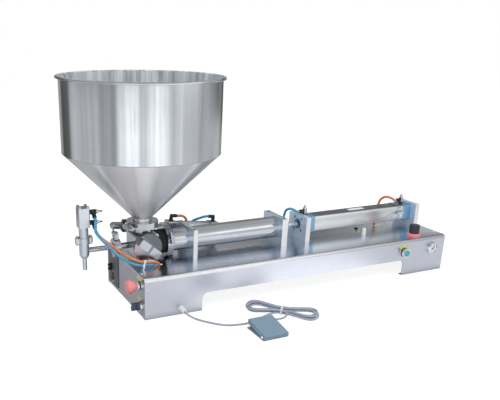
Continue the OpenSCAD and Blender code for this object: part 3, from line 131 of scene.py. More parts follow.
class NodeSheet:
    """A node tree with short calls that add nodes and join them."""

    def __init__(self, tree: bpy.types.NodeTree) -> None:
        """Keep the tree that nodes are added to."""
        self.tree = tree

    def node(
        self, kind: str, feeds: Mapping[str | int, object] | None = None, **settings: object
    ) -> bpy.types.Node:
        """Add one node.

        Args:
            kind: Blender's name for the node type.
            feeds: Constants or sockets for its inputs, by name or number.
            settings: Values for the node's own properties.

        Returns:
            The new node.
        """
        made = self.tree.nodes.new(kind)
        for key, value in settings.items():
            setattr(made, key, value)
        for key, value in (feeds or {}).items():
            self.feed(made.inputs[key], value)
        return made

    def feed(self, socket: Socket, value: object) -> None:
        """Set a socket to a constant, or link another socket to it.

        Args:
            socket: The input that gets the value.
            value: A constant or an output socket.
        """
        if isinstance(value, bpy.types.NodeSocket):
            self.tree.links.new(value, socket)
        else:
            socket.default_value = value

    def sum(self, kind: str, *values: object) -> Socket:
        """Do one step of arithmetic on constants or sockets."""
        return self.node("ShaderNodeMath", dict(enumerate(values)), operation=kind).outputs[0]

    def vector(self, kind: str, *values: object) -> Socket:
        """Do one step of arithmetic on vectors."""
        made = self.node("ShaderNodeVectorMath", dict(enumerate(values)), operation=kind)
        return made.outputs["Value" if kind in ("LENGTH", "DOT_PRODUCT") else "Vector"]

    def span(
        self, value: object, low: float, high: float, to_low: float = 0.0, to_high: float = 1.0
    ) -> Socket:
        """Map a value from one range to another, each given by its ends, and clamp it."""
        feeds = {"Value": value, "From Min": low, "From Max": high, "To Min": to_low, "To Max": to_high}
        return self.node("ShaderNodeMapRange", feeds, clamp=True).outputs["Result"]

    def noise(self, vector: object, scale: object, detail: float, rough: float) -> Socket:
        """Add a noise pattern of a scale, with layers of finer noise of a strength."""
        feeds = {"Vector": vector, "Scale": scale, "Detail": detail, "Roughness": rough}
        return self.node("ShaderNodeTexNoise", feeds).outputs["Fac"]

    def blend(self, amount: object, first: object, second: object) -> Socket:
        """Mix two colours, the first at 0 and the second at 1."""
        return self.node("ShaderNodeMix", {0: amount, 6: first, 7: second}, data_type="RGBA").outputs[2]

    def ramp(self, value: object, stops: Iterable[Pair]) -> Socket:
        """Turn a value from 0 to 1 into a grey tone.

        Args:
            value: The value to look up.
            stops: Place and tone of each stop, in order.

        Returns:
            The tone's socket.
        """
        made = self.node("ShaderNodeValToRGB", {0: value})
        band = made.color_ramp
        for i, (where, tone) in enumerate(stops):
            stop = band.elements[i] if i < 2 else band.elements.new(where)
            stop.position = where
            stop.color = grey(tone)
        return made.outputs[0]

    def axis(self, letter: str) -> Socket:
        """Give one coordinate of the surface point, in metres."""
        spot = self.node("ShaderNodeTexCoord").outputs["Object"]
        return self.node("ShaderNodeSeparateXYZ", {0: spot}).outputs[letter]

    def along(
        self, letter: str, start: float, end: float, to_start: float = 0.0, to_end: float = 1.0
    ) -> Socket:
        """Map an axis between two places, in machine millimetres, to a range."""
        low, high = (place(at, at, at)["XYZ".index(letter)] for at in (start, end))
        return self.span(self.axis(letter), low, high, to_start, to_end)


def bare_material(name: str) -> tuple[bpy.types.Material, NodeSheet]:
    """Make a material without nodes.

    Args:
        name: The material's name.

    Returns:
        The material and its empty sheet.
    """
    material = bpy.data.materials.new(name)
    material.use_nodes = True
    material.node_tree.nodes.clear()
    return material, NodeSheet(material.node_tree)


class Effect(Enum):
    """Surface effects that several finishes share."""

    GRAIN = "drawn_grain"
    SMUDGE = "hand_smudges"
    RINGS = "turned_rings"
    SPECKLE = "moulded_speckle"
    SCRATCH = "fine_scratches"


class EffectShelf:
    """Makes each shared effect once, as a node group of masks and heights."""

    sockets = (
        ("Vector", "INPUT", "NodeSocketVector"), ("Stretch", "INPUT", "NodeSocketVector"),
        ("Scale", "INPUT", "NodeSocketFloat"), ("Value", "OUTPUT", "NodeSocketFloat"),
    )
    # Layers, their strength, and the values that become 0 and 1.
    noises = {
        Effect.GRAIN: (3.0, 0.6, 0.25, 0.75),
        Effect.SMUDGE: (4.0, 0.62, 0.36, 0.7),
        Effect.SPECKLE: (2.0, 0.5, 0.0, 1.0),
        Effect.SCRATCH: (2.0, 0.4, 0.66, 0.76),
    }
    ring_span = (0.25, 0.75)

    def __init__(self) -> None:
        """Start with no effect made."""
        self.made: dict[Effect, bpy.types.NodeTree] = {}

    def group(self, effect: Effect) -> bpy.types.NodeTree:
        """Give the node group of an effect, made on first use.

        Args:
            effect: The effect wanted.

        Returns:
            Its node group.
        """
        if effect not in self.made:
            tree = bpy.data.node_groups.new(effect.value, "ShaderNodeTree")
            for name, way, kind in self.sockets:
                tree.interface.new_socket(name, in_out=way, socket_type=kind)
            sheet = NodeSheet(tree)
            entry = sheet.node("NodeGroupInput").outputs
            vector = sheet.vector("MULTIPLY", entry["Vector"], entry["Stretch"])
            sheet.node("NodeGroupOutput", {"Value": self._draw(effect, sheet, vector, entry["Scale"])})
            self.made[effect] = tree
        return self.made[effect]

    def _draw(self, effect: Effect, sheet: NodeSheet, vector: Socket, scale: Socket) -> Socket:
        """Draw the inside of one effect.

        Args:
            effect: The effect to draw.
            sheet: The group's nodes.
            vector: The stretched position.
            scale: The pattern's scale.

        Returns:
            The socket of the effect's value, from 0 to 1.
        """
        if effect is Effect.RINGS:
            feeds = {"W": sheet.vector("LENGTH", vector), "Scale": scale}
            rings = sheet.node("ShaderNodeTexNoise", feeds, noise_dimensions="1D")
            return sheet.span(rings.outputs["Fac"], *self.ring_span)
        layers, strength, low, high = self.noises[effect]
        return sheet.span(sheet.noise(vector, scale, layers, strength), low, high)


SHELF = EffectShelf()


class FinishSheet(NodeSheet):
    """The nodes of one material, with its shader and its object coordinates."""

    def __init__(self, name: str) -> None:
        """Make the material and its shader.

        Args:
            name: The material's name.
        """
        self.made = bpy.data.materials.new(name)
        self.made.use_nodes = True
        super().__init__(self.made.node_tree)
        self.shader = self.tree.nodes["Principled BSDF"]
        self.spot = self.node("ShaderNodeTexCoord").outputs["Object"]

    def effect(
        self, effect: Effect, scale: float, stretch: Point = (1.0, 1.0, 1.0), centre: Vector | None = None
    ) -> Socket:
        """Use a shared effect at the surface.

        Args:
            effect: The effect.
            scale: Its scale per metre.
            stretch: How much finer it is along each axis.
            centre: The point that it is measured from, the frame's origin if None.

        Returns:
            The socket of its value.
        """
        spot = self.spot if centre is None else self.vector("SUBTRACT", self.spot, centre)
        feeds = {"Vector": spot, "Stretch": stretch, "Scale": scale}
        return self.node("ShaderNodeGroup", feeds, node_tree=SHELF.group(effect)).outputs["Value"]

    def set(self, **values: object) -> None:
        """Set or link sockets of the shader, with _ for a space in their names."""
        for name, value in values.items():
            self.feed(self.shader.inputs[name.replace("_", " ")], value)

    def height(self, value: object, depth: float) -> None:
        """Raise the surface by a height from 0 to 1, to a depth in metres at 1."""
        bump = self.node("ShaderNodeBump", {"Distance": depth, "Strength": 1.0, "Height": value})
        self.set(Normal=bump.outputs[0])


@dataclass(frozen=True)
class Finish:
    """A procedural finish, which each kind of finish paints in its own way."""

    name: str

    def material(self) -> bpy.types.Material:
        """Build the finish's material.

        Returns:
            The material.
        """
        sheet = FinishSheet(self.name)
        self.paint(sheet)
        return sheet.made

    def paint(self, sheet: FinishSheet) -> None:
        """Draw the finish on a material's nodes."""
        raise NotImplementedError


@dataclass(frozen=True)
class Steel(Finish):
    """Bare metal with a drawn grain, smudges and fine scratches."""

    colour: Colour
    roughness: float
    stretch: Point = (4.0, 60.0, 60.0)
    scale: float = 14.0
    grain: float = 0.10
    smudge: float = 0.08
    depth: float = 0.000004
    shade: float = 0.88
    metal: float = 1.0
    smudge_scale: float = 11.0
    scratch: float = 0.08

    def wear(self, sheet: FinishSheet) -> tuple[Socket, Socket, Socket]:
        """Draw the metal's grain and wear.

        Args:
            sheet: The material's nodes.

        Returns:
            The sockets of the grain, of the wear and of the roughness.
        """
        grain = sheet.effect(Effect.GRAIN, self.scale, self.stretch)
        smudge = sheet.effect(Effect.SMUDGE, self.smudge_scale)
        scratch = sheet.effect(Effect.SCRATCH, self.scale, self.stretch)
        worn = sheet.sum("MULTIPLY_ADD", smudge, 0.5, sheet.sum("MULTIPLY", grain, 0.5))
        rough = sheet.sum("MULTIPLY_ADD", grain, self.grain, self.roughness - 0.5 * self.grain)
        rough = sheet.sum("MULTIPLY_ADD", smudge, self.smudge, rough)
        return grain, worn, sheet.sum("MULTIPLY_ADD", scratch, self.scratch, rough)

    def face(self, sheet: FinishSheet, worn: Socket) -> Socket:
        """Give the metal's own colour, darker where it is worn."""
        return sheet.blend(worn, tint(self.colour), tint(self.colour, self.shade))

    def paint(self, sheet: FinishSheet) -> None:
        """Draw plain metal.

        Args:
            sheet: The material's nodes.
        """
        grain, worn, rough = self.wear(sheet)
        sheet.set(Base_Color=self.face(sheet, worn), Metallic=self.metal, Roughness=rough)
        sheet.height(grain, self.depth)


@dataclass(frozen=True)
class HopperSteel(Steel):
    """Mirror sheet rolled round the hopper's axis, with painted reflection streaks on its cone and a duller
    inside whose paler, less metallic colour is painted light.
    """

    axis: Pair = (55.0, 158.5)
    # The inside's pale colour and low metal are painted light.
    inside: Colour = (0.93, 0.98, 1.0)
    inside_metal: float = 0.25
    inside_dull: float = 0.16
    inside_turn: Pair = (-0.001, -0.003)
    stripes: tuple[float, Point] = (8.0, (8.0, 8.0, 0.5))
    stripe_shade: float = 0.3
    # The cone's colour is painted reflection: dark streaks and highlights by bearing, and painted light
    # towards the neck.
    cone: Colour = (0.80, 0.82, 0.87)
    cone_highlight: Colour = (0.99, 0.99, 1.0)
    cone_shade: float = 0.5
    cone_grain: float = 0.2
    cone_dull: float = 0.17
    cone_seam: Pair = (437.0, 433.0)
    neck: Pair = (396.0, 246.0)
    neck_painted_light: float = 0.4
    streaks: Stops = (
        (-180, 0.6), (-69, 0.3), (-54, 0.15), (-37, 0.1), (-25, 0.5), (-20, 1.0), (-15, 0.5), (-5, 0.4),
        (7, 0.5), (14, 0.9), (17, 1.0), (24, 1.0), (27, 0.62), (48, 0.52), (52, 0.95), (57, 0.42),
        (71, 0.4), (91, 0.4), (111, 0.4), (180, 0.6),
    )
    anisotropy: float = 0.85
    grain_turn: float = 0.25

    def paint(self, sheet: FinishSheet) -> None:
        """Draw the wall, the cone and the inside.

        Args:
            sheet: The material's nodes.
        """
        grain, worn, rough = self.wear(sheet)
        # The inside's paler, less metallic colour is painted light; its added roughness is its duller
        # finish.
        inside = self._inside(sheet)
        stripes = sheet.effect(Effect.GRAIN, *self.stripes)
        inner = sheet.blend(stripes, tint(self.inside), tint(self.inside, self.stripe_shade))
        cone = sheet.along("Z", *self.cone_seam)
        # Painted light on the cone: reflection streaks by bearing, lighter towards the neck, with the grain
        # laid over them.
        painted_light = sheet.sum("MULTIPLY_ADD", sheet.along("Z", *self.neck), self.neck_painted_light, self._reflection_tone(sheet))
        streak_and_grain_shade = tint(self.cone, self.cone_shade)
        streaked_cone = sheet.blend(painted_light, streak_and_grain_shade, tint(self.cone_highlight))
        streaked_cone = sheet.blend(sheet.sum("MULTIPLY", grain, self.cone_grain), streaked_cone, streak_and_grain_shade)
        outer = sheet.blend(cone, self.face(sheet, worn), streaked_cone)
        rough = sheet.sum("MULTIPLY_ADD", cone, self.cone_dull, rough)
        rolled = sheet.node("ShaderNodeTangent", direction_type="RADIAL", axis="Z")
        sheet.set(
            Base_Color=sheet.blend(inside, outer, inner),
            Metallic=sheet.sum("MULTIPLY_ADD", inside, self.inside_metal - 1.0, 1.0),
            Roughness=sheet.sum("MULTIPLY_ADD", inside, self.inside_dull, rough),
            Anisotropic=self.anisotropy, Anisotropic_Rotation=self.grain_turn, Tangent=rolled.outputs[0],
        )
        sheet.height(grain, self.depth)

    def _reflection_tone(self, sheet: FinishSheet) -> Socket:
        """Draw the painted reflection streaks that run down the cone, light and dark by bearing.

        Args:
            sheet: The material's nodes.

        Returns:
            The streaks' tone, by the bearing round the hopper's axis.
        """
        centre = place(*self.axis, 0.0)
        left = sheet.sum("SUBTRACT", centre.x, sheet.axis("X"))
        ahead = sheet.sum("SUBTRACT", centre.y, sheet.axis("Y"))
        turn = sheet.span(sheet.sum("ARCTAN2", left, ahead), -math.pi, math.pi)
        return sheet.ramp(turn, [(angle / 360 + 0.5, tone) for angle, tone in self.streaks])

    def _inside(self, sheet: FinishSheet) -> Socket:
        """Find the faces that look towards the hopper's axis.

        Args:
            sheet: The material's nodes.

        Returns:
            The socket of a mask, 1 on those faces.
        """
        away = sheet.vector("SUBTRACT", sheet.spot, place(*self.axis, 0.0))
        level = sheet.vector("MULTIPLY", away, (1.0, 1.0, 0.0))
        normal = sheet.node("ShaderNodeTexCoord").outputs["Normal"]
        return sheet.span(sheet.vector("DOT_PRODUCT", level, normal), *self.inside_turn)


@dataclass(frozen=True)
class EdgedSteel(Steel):
    """A ground plate whose front face carries a painted highlight: near-white and less metallic."""

    front: float = 102.0
    # This colour is a painted highlight on the plate's front face.
    edge: Colour = (0.97, 0.98, 1.0)
    edge_depth: Pair = (1.4, 0.5)
    edge_highlight_metal: float = -0.6

    def paint(self, sheet: FinishSheet) -> None:
        """Draw the plate's faces and the painted highlight on its front face.

        Args:
            sheet: The material's nodes.
        """
        grain, worn, rough = self.wear(sheet)
        # Painted highlight: the front face turns near-white and less metallic.
        edge = sheet.along("Y", *(self.front + depth for depth in self.edge_depth))
        sheet.set(
            Base_Color=sheet.blend(edge, self.face(sheet, worn), tint(self.edge)), Roughness=rough,
            Metallic=sheet.sum("MULTIPLY_ADD", edge, self.edge_highlight_metal, self.metal),
        )
        sheet.height(grain, self.depth)


@dataclass(frozen=True)
class ScrewSteel(Steel):
    """Screw heads: bright on the nozzle, blackened on the plates."""

    bright: Colour = (0.66, 0.70, 0.76)
    bright_left_of: float = -40.0
    bright_polish: float = -0.08

    def paint(self, sheet: FinishSheet) -> None:
        """Draw both kinds of screw.

        Args:
            sheet: The material's nodes.
        """
        grain, worn, rough = self.wear(sheet)
        plated = sheet.sum("LESS_THAN", sheet.axis("X"), place(self.bright_left_of, 0, 0).x)
        colour = sheet.blend(plated, tint(self.colour), tint(self.bright))
        sheet.set(
            Base_Color=sheet.blend(worn, colour, tint(self.colour, self.shade)), Metallic=self.metal,
            Roughness=sheet.sum("MULTIPLY_ADD", plated, self.bright_polish, rough),
        )
        sheet.height(grain, self.depth)


@dataclass(frozen=True)
class TurnedSteel(Finish):
    """Metal faced on a lathe, with fine rings about a centre and a paler painted reflection towards the
    bottom left.
    """

    colour: Colour
    # This colour is a painted reflection, shown towards the bottom left.
    lower: Colour
    roughness: float
    centre: Point
    across: Point
    reflection_fade: float = 26.0
    scale: float = 900.0
    smudge_scale: float = 26.0
    shade: float = 0.8
    ring_dull: float = 0.12
    smudge_dull: float = 0.06
    depth: float = 0.000008

    def paint(self, sheet: FinishSheet) -> None:
        """Draw the turned face.

        Args:
            sheet: The material's nodes.
        """
        middle = place(*self.centre)
        rings = sheet.effect(Effect.RINGS, self.scale, self.across, middle)
        smudge = sheet.effect(Effect.SMUDGE, self.smudge_scale)
        colour = sheet.blend(smudge, tint(self.colour), tint(self.colour, self.shade))
        # Painted reflection: the colour turns paler towards the bottom left.
        fall = sheet.sum("ADD", sheet.axis("X"), sheet.axis("Z"))
        level, reach = middle.x + middle.z, self.reflection_fade * MM
        colour = sheet.blend(sheet.span(fall, level + reach, level - reach), colour, tint(self.lower))
        rough = sheet.sum("MULTIPLY_ADD", rings, self.ring_dull, self.roughness - self.ring_dull / 2)
        rough = sheet.sum("MULTIPLY_ADD", smudge, self.smudge_dull, rough)
        sheet.set(Base_Color=colour, Metallic=1.0, Roughness=rough)
        sheet.height(rings, self.depth)


@dataclass(frozen=True)
class CoverSteel(Finish):
    """The folded cover: a polished deck over satin front and back aprons, with a painted highlight along the
    front bend, a painted dark band along the deck's front, and a deck colour painted lighter than the
    aprons'.
    """

    # The deck colour is painted lighter than the aprons': painted light on the top face; the real difference
    # between them is in roughness.
    deck: Colour
    apron: Colour
    # This near-white colour is a painted highlight along the front bend, strongest at the left.
    fold_highlight: Colour = (0.97, 0.98, 1.0)
    deck_span: Pair = (108.0, 119.6)
    deck_roughness: float = 0.2
    deck_shade: float = 0.9
    # The deck's front margin is painted darker: painted shade above the bend.
    margin: Pair = (48.0, 16.0)
    margin_painted_shade: float = 0.72
    apron_roughness: float = 0.34
    apron_shades: Pair = (0.93, 0.88)
    fold_rise: Pair = (108.0, 113.0)
    fold_end: Pair = (0.98, 0.9)
    fold_highlight_fade: tuple[float, float, float, float] = (680.0, 330.0, 0.12, 0.85)
    fold_highlight_metal: float = 0.35
    drawn: tuple[float, Point] = (12.0, (3.0, 60.0, 60.0))
    cloud: tuple[float, Point] = (4.2, (1.0, 1.6, 2.2))
    scratch: tuple[float, Point] = (9.0, (4.0, 70.0, 40.0))
    drawn_dull: float = 0.12
    cloud_share: float = 0.5
    cloud_dull: float = 0.05
    scratch_dull: float = 0.1
    depth: float = 0.000002

    def paint(self, sheet: FinishSheet) -> None:
        """Draw the deck, the aprons, and the painted highlight on the bend between them.

        Args:
            sheet: The material's nodes.
        """
        drawn = sheet.effect(Effect.GRAIN, *self.drawn)
        cloud = sheet.effect(Effect.SMUDGE, *self.cloud)
        scratch = sheet.effect(Effect.SCRATCH, *self.scratch)
        on_deck = sheet.along("Z", *self.deck_span)
        # Painted light: the deck's colour is lighter than the aprons'.
        deck = sheet.blend(cloud, tint(self.deck), tint(self.deck, self.deck_shade))
        # Painted shade: the deck darkens towards its front edge.
        deck = sheet.blend(sheet.along("Y", *self.margin), deck, tint(self.deck, self.margin_painted_shade))
        fine, coarse = (tint(self.apron, shade) for shade in self.apron_shades)
        apron = sheet.blend(drawn, tint(self.apron), fine)
        apron = sheet.blend(sheet.sum("MULTIPLY", cloud, self.cloud_share), apron, coarse)
        # Painted highlight along the front bend, strongest at the left and falling off to the right.
        raised, ended = sheet.along("Z", *self.fold_rise), sheet.span(on_deck, *self.fold_end)
        fold_highlight_mask = sheet.sum("MULTIPLY", raised, ended)
        fold_highlight_mask = sheet.sum("MULTIPLY", fold_highlight_mask, sheet.along("X", *self.fold_highlight_fade))
        soft = sheet.sum("MULTIPLY_ADD", drawn, self.drawn_dull, self.apron_roughness - self.drawn_dull / 2)
        hard = sheet.sum("MULTIPLY_ADD", cloud, self.cloud_dull, self.deck_roughness)
        hard = sheet.sum("MULTIPLY_ADD", scratch, self.scratch_dull, hard)
        sheet.set(
            Base_Color=sheet.blend(fold_highlight_mask, sheet.blend(on_deck, apron, deck), tint(self.fold_highlight)),
            Metallic=sheet.sum("MULTIPLY_ADD", fold_highlight_mask, self.fold_highlight_metal - 1.0, 1.0),
            Roughness=sheet.sum("MULTIPLY_ADD", on_deck, sheet.sum("SUBTRACT", hard, soft), soft),
        )
        sheet.height(drawn, self.depth)


@dataclass(frozen=True)
class BarrelMetal(Finish):
    """Drawn aluminium of the air barrel, with painted reflection stripes along its sides, painted shade in
    its sensor grooves, and painted shade along its top.
    """

    colour: Colour
    # The top colour is painted shade on the top face.
    top: Colour
    sides: Pair = (142.5, 193.5)
    top_span: Pair = (191.1, 193.1)
    top_shade_share: float = 0.8
    roughness: float = 0.3
    drawn: tuple[float, Point] = (16.0, (2.0, 70.0, 70.0))
    smudge: tuple[float, Point] = (12.0, (0.5, 1.0, 1.0))
    painted_band_shade: float = 0.45
    grain_share: float = 0.3
    grain_shade: float = 0.6
    grain_dull: float = 0.06
    smudge_dull: float = 0.05
    depth: float = 0.000001
    # Painted reflection stripes by height, darkest in the sensor grooves as painted shade.
    reflection_bands: Stops = (
        (0.0, 0.9), (0.10, 0.9), (0.15, 0.4), (0.19, 0.85), (0.30, 1.0), (0.48, 1.0), (0.60, 0.74),
        (0.70, 0.58), (0.84, 0.66), (0.90, 1.0), (0.96, 1.0), (1.0, 0.8),
    )

    def paint(self, sheet: FinishSheet) -> None:
        """Draw the barrel's painted reflection stripes and its painted dark top.

        Args:
            sheet: The material's nodes.
        """
        drawn = sheet.effect(Effect.GRAIN, *self.drawn)
        smudge = sheet.effect(Effect.SMUDGE, *self.smudge)
        # Painted reflection and shade: light and dark stripes by height.
        reflection_bands = sheet.ramp(sheet.along("Z", *self.sides), self.reflection_bands)
        colour = sheet.blend(reflection_bands, tint(self.colour, self.painted_band_shade), tint(self.colour))
        grain = sheet.sum("MULTIPLY", drawn, self.grain_share)
        colour = sheet.blend(grain, colour, tint(self.colour, self.grain_shade))
        # Painted shade: the top is darkened.
        top_shade_mask = sheet.sum("MULTIPLY", sheet.along("Z", *self.top_span), self.top_shade_share)
        rough = sheet.sum("MULTIPLY_ADD", drawn, self.grain_dull, self.roughness - self.grain_dull / 2)
        rough = sheet.sum("MULTIPLY_ADD", smudge, self.smudge_dull, rough)
        sheet.set(Base_Color=sheet.blend(top_shade_mask, colour, tint(self.top)), Metallic=1.0, Roughness=rough)
        sheet.height(drawn, self.depth)


@dataclass(frozen=True)
class Moulded(Finish):
    """Plastic, rubber or paint with a moulded speckle and faint wear."""

    colour: Colour
    roughness: float
    speckle: float = 900.0
    depth: float = 0.00004
    wear: float = 0.12
    lift: float = 1.25
    coat: float = 0.0
    smudge_scale: float = 34.0
    speckle_span: Pair = (0.3, 0.7)
    speckle_shades: Pair = (0.94, 1.04)
    speckle_dull: float = 0.16
    smudge_dull: float = 0.1

    def paint(self, sheet: FinishSheet) -> None:
        """Draw the moulded surface.

        Args:
            sheet: The material's nodes.
        """
        speckle = sheet.effect(Effect.SPECKLE, self.speckle)
        smudge = sheet.effect(Effect.SMUDGE, self.smudge_scale)
        dark, light = (tint(self.colour, shade) for shade in self.speckle_shades)
        body = sheet.blend(sheet.span(speckle, *self.speckle_span), dark, light)
        colour = sheet.blend(sheet.sum("MULTIPLY", smudge, self.wear), body, tint(self.colour, self.lift))
        rough = sheet.sum("MULTIPLY_ADD", speckle, self.speckle_dull, self.roughness - self.speckle_dull / 2)
        rough = sheet.sum("MULTIPLY_ADD", smudge, self.smudge_dull, rough)
        sheet.set(Base_Color=colour, Roughness=rough, Coat_Weight=self.coat)
        sheet.height(speckle, self.depth)


@dataclass(frozen=True)
class FittingPlastic(Moulded):
    """Black air fittings, with the metal bodies of the upright flow controls left bare."""

    bare: Colour = (0.52, 0.55, 0.58)
    bodies: Pair = (615.5, 1013.5)
    reach: float = 6.0
    foot: float = 200.0

    def paint(self, sheet: FinishSheet) -> None:
        """Draw the plastic and the bare bodies.

        Args:
            sheet: The material's nodes.
        """
        super().paint(sheet)
        masks = []
        for x in self.bodies:
            aside = sheet.sum("ABSOLUTE", sheet.sum("SUBTRACT", sheet.axis("X"), place(x, 0, 0).x))
            masks.append(sheet.sum("LESS_THAN", aside, self.reach * MM))
        raised = sheet.sum("GREATER_THAN", sheet.axis("Z"), self.foot * MM)
        bare = sheet.sum("MULTIPLY", sheet.sum("MAXIMUM", *masks), raised)
        colour = sheet.shader.inputs["Base Color"].links[0].from_socket
        sheet.set(Base_Color=sheet.blend(bare, colour, tint(self.bare)), Metallic=bare)


@dataclass(frozen=True)
class HoseSkin(Finish):
    """Glossy polyurethane hose, a little clear at its skin."""

    colour: Colour
    deep: Colour
    streak_scale: float = 60.0
    fine_scale: float = 700.0
    roughness: float = 0.2
    fine_dull: float = 0.14
    coat: Pair = (0.35, 0.12)
    clear: Pair = (0.12, 0.004)
    depth: float = 0.00003

    def paint(self, sheet: FinishSheet) -> None:
        """Draw the hose's skin.

        Args:
            sheet: The material's nodes.
        """
        streak = sheet.effect(Effect.SMUDGE, self.streak_scale)
        fine = sheet.effect(Effect.SPECKLE, self.fine_scale)
        sheet.set(
            Base_Color=sheet.blend(streak, tint(self.colour), tint(self.deep)),
            Roughness=sheet.sum("MULTIPLY_ADD", fine, self.fine_dull, self.roughness),
            Coat_Weight=self.coat[0], Coat_Roughness=self.coat[1],
            Subsurface_Weight=self.clear[0], Subsurface_Scale=self.clear[1],
        )
        sheet.height(fine, self.depth)


@dataclass(frozen=True)
class ClearGlass(Finish):
    """The gauge's clear window."""

    colour: Colour = (0.98, 0.99, 1.0)
    bending: float = 1.45
    smudge_scale: float = 70.0
    smudge_dull: float = 0.05
    roughness: float = 0.02

    def paint(self, sheet: FinishSheet) -> None:
        """Draw the window.

        Args:
            sheet: The material's nodes.
        """
        smudge = sheet.effect(Effect.SMUDGE, self.smudge_scale)
        sheet.set(Base_Color=tint(self.colour), Transmission_Weight=1.0, IOR=self.bending)
        sheet.set(Roughness=sheet.sum("MULTIPLY_ADD", smudge, self.smudge_dull, self.roughness))


class FinishBook:
    """Every finish of the machine by name, with its material made on first use."""

    def __init__(self) -> None:
        """List the finishes."""
        even, small, ground = (30.0, 30.0, 30.0), (40.0, 40.0, 40.0), ((60.0, 5.0, 60.0), 14.0, 0.14, 0.08)
        black = ((0.014, 0.015, 0.018), 0.36, 1100.0, 0.00003, 0.35, 2.4)
        finishes = (
            CoverSteel("cover_steel", (0.81, 0.85, 0.91), (0.56, 0.58, 0.65)),
            Steel("end_steel", (0.48, 0.48, 0.53), 0.36, (60.0, 4.0, 60.0), 12.0, 0.14),
            HopperSteel("hopper_steel", (0.60, 0.63, 0.67), 0.17, (30.0, 30.0, 0.8), 8.0, 0.05, 0.03),
            Steel("tube_steel", (0.60, 0.63, 0.67), 0.17, (1.5, 60.0, 60.0), 12.0, 0.08, 0.06),
            Steel("bright_steel", (0.47, 0.49, 0.53), 0.14, even, 14.0, 0.1, 0.1),
            Steel("satin_steel", (0.47, 0.50, 0.55), 0.3, *ground),
            EdgedSteel("saddle_steel", (0.70, 0.82, 0.94), 0.3, *ground, metal=0.8),
            EdgedSteel("plate_steel", (0.72, 0.86, 1.0), 0.32, *ground, metal=0.5, front=109.0),
            Steel("nozzle_steel", (0.58, 0.63, 0.70), 0.26, (40.0, 40.0, 6.0), 14.0, 0.1, 0.08),
            Steel("dark_steel", (0.16, 0.165, 0.175), 0.34, small, 20.0),
            Steel("zinc_steel", (0.95, 0.96, 0.99), 0.3, small, 20.0, metal=0.4),
            ScrewSteel("screw_steel", (0.17, 0.18, 0.19), 0.34, small, 20.0),
            Steel("bare_aluminium", (0.62, 0.66, 0.71), 0.3, (5.0, 60.0, 60.0), 14.0, 0.14),
            Steel("blue_aluminium", (0.29, 0.51, 0.72), 0.3, (50.0, 8.0, 8.0), 18.0, 0.12, metal=0.75),
            Steel("chrome_trim", (0.74, 0.76, 0.79), 0.1, even, 12.0, 0.05, 0.06),
            BarrelMetal("barrel_metal", (0.94, 0.98, 1.0), (0.20, 0.24, 0.29)),
            TurnedSteel(
                "faced_steel", (0.14, 0.155, 0.18), (0.42, 0.38, 0.42), 0.18, (55.0, 110.0, 168.0),
                (1.0, 0.0, 1.0),
            ),
            Moulded("dark_plate", (0.085, 0.105, 0.105), 0.42, 1400.0, 0.00003, 0.3, 1.8),
            Moulded("black_plastic", *black),
            FittingPlastic("fitting_plastic", *black),
            Moulded("knob_black", (0.030, 0.031, 0.040), 0.42, 1100.0, 0.00003, 0.35, 1.8),
            Moulded("selector_blue", (0.060, 0.075, 0.125), 0.42, 1100.0, 0.00003, 0.3, 1.6),
            Moulded("black_rubber", (0.013, 0.013, 0.014), 0.6, 1500.0, 0.00005, 0.3, 2.2),
            Moulded("white_plastic", (0.94, 0.95, 0.96), 0.4, 900.0, 0.00002, 0.2, 0.92),
            Moulded("grey_cord", (0.40, 0.44, 0.54), 0.46, 1200.0, 0.00003, 0.3, 0.86),
            Moulded("red_plastic", (1.0, 0.31, 0.31), 0.34, 900.0, 0.00002, 0.15, 1.1, 0.2),
            Moulded("ring_red", (1.0, 0.28, 0.33), 0.36, 900.0, 0.00002, 0.15, 1.1),
            Moulded("green_plastic", (0.08, 0.52, 0.49), 0.32, 900.0, 0.00002, 0.2, 1.3, 0.3),
            Moulded("pedal_paint", (0.21, 0.31, 0.40), 0.46, 1500.0, 0.0001, 0.2, 1.25),
            Moulded("label_yellow", (0.82, 0.84, 0.24), 0.44, 700.0, 0.00002, 0.25, 0.86),
            Moulded("label_white", (0.83, 0.84, 0.85), 0.42, 700.0, 0.00002, 0.25, 0.9),
            Moulded("dial_white", (1.0, 1.0, 1.0), 0.5, 600.0, 0.00001, 0.1, 0.98),
            Moulded("dial_grey", (0.46, 0.47, 0.48), 0.5),
            Moulded("dial_black", (0.02, 0.02, 0.022), 0.5),
            Moulded("sleeve_green", (0.60, 0.64, 0.10), 0.5, 900.0, 0.00003, 0.2, 0.85),
            HoseSkin("blue_hose", (0.10, 0.44, 0.70), (0.06, 0.34, 0.60)),
            HoseSkin("orange_hose", (0.82, 0.30, 0.12), (0.72, 0.22, 0.08)),
            ClearGlass("clear_lens"),
        )
        self.finishes = {finish.name: finish for finish in finishes}
        self.made: dict[str, bpy.types.Material] = {}

    def get(self, name: str) -> bpy.types.Material:
        """Give the material of a finish.

        Args:
            name: The finish's name.

        Returns:
            Its material.
        """
        if name not in self.made:
            self.made[name] = self.finishes[name].material()
        return self.made[name]


BOOK = FinishBook()


def add_object(name: str, data: bpy.types.ID) -> bpy.types.Object:
    """Add an object to the scene.

    Args:
        name: The object's name.
        data: Its mesh, curve, camera or lamp.

    Returns:
        The object.
    """
    made = bpy.data.objects.new(name, data)
    bpy.context.scene.collection.objects.link(made)
    return made


def piece(
    name: str, mesh: bpy.types.Mesh, finish: str, body: str = "machine"
) -> bpy.types.Object:
    """Make a piece from a mesh that is already in place.

    Args:
        name: The piece's name.
        mesh: Its mesh, in the frame.
        finish: The finish's name.
        body: The CAD body it rides on.

    Returns:
        The piece.
    """
    made = add_object(name, mesh)
    if not mesh.materials:
        mesh.materials.append(BOOK.get(finish))
    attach(made, body)
    log.info("%s rides on %s, finish %s", name, body, finish)
    return made


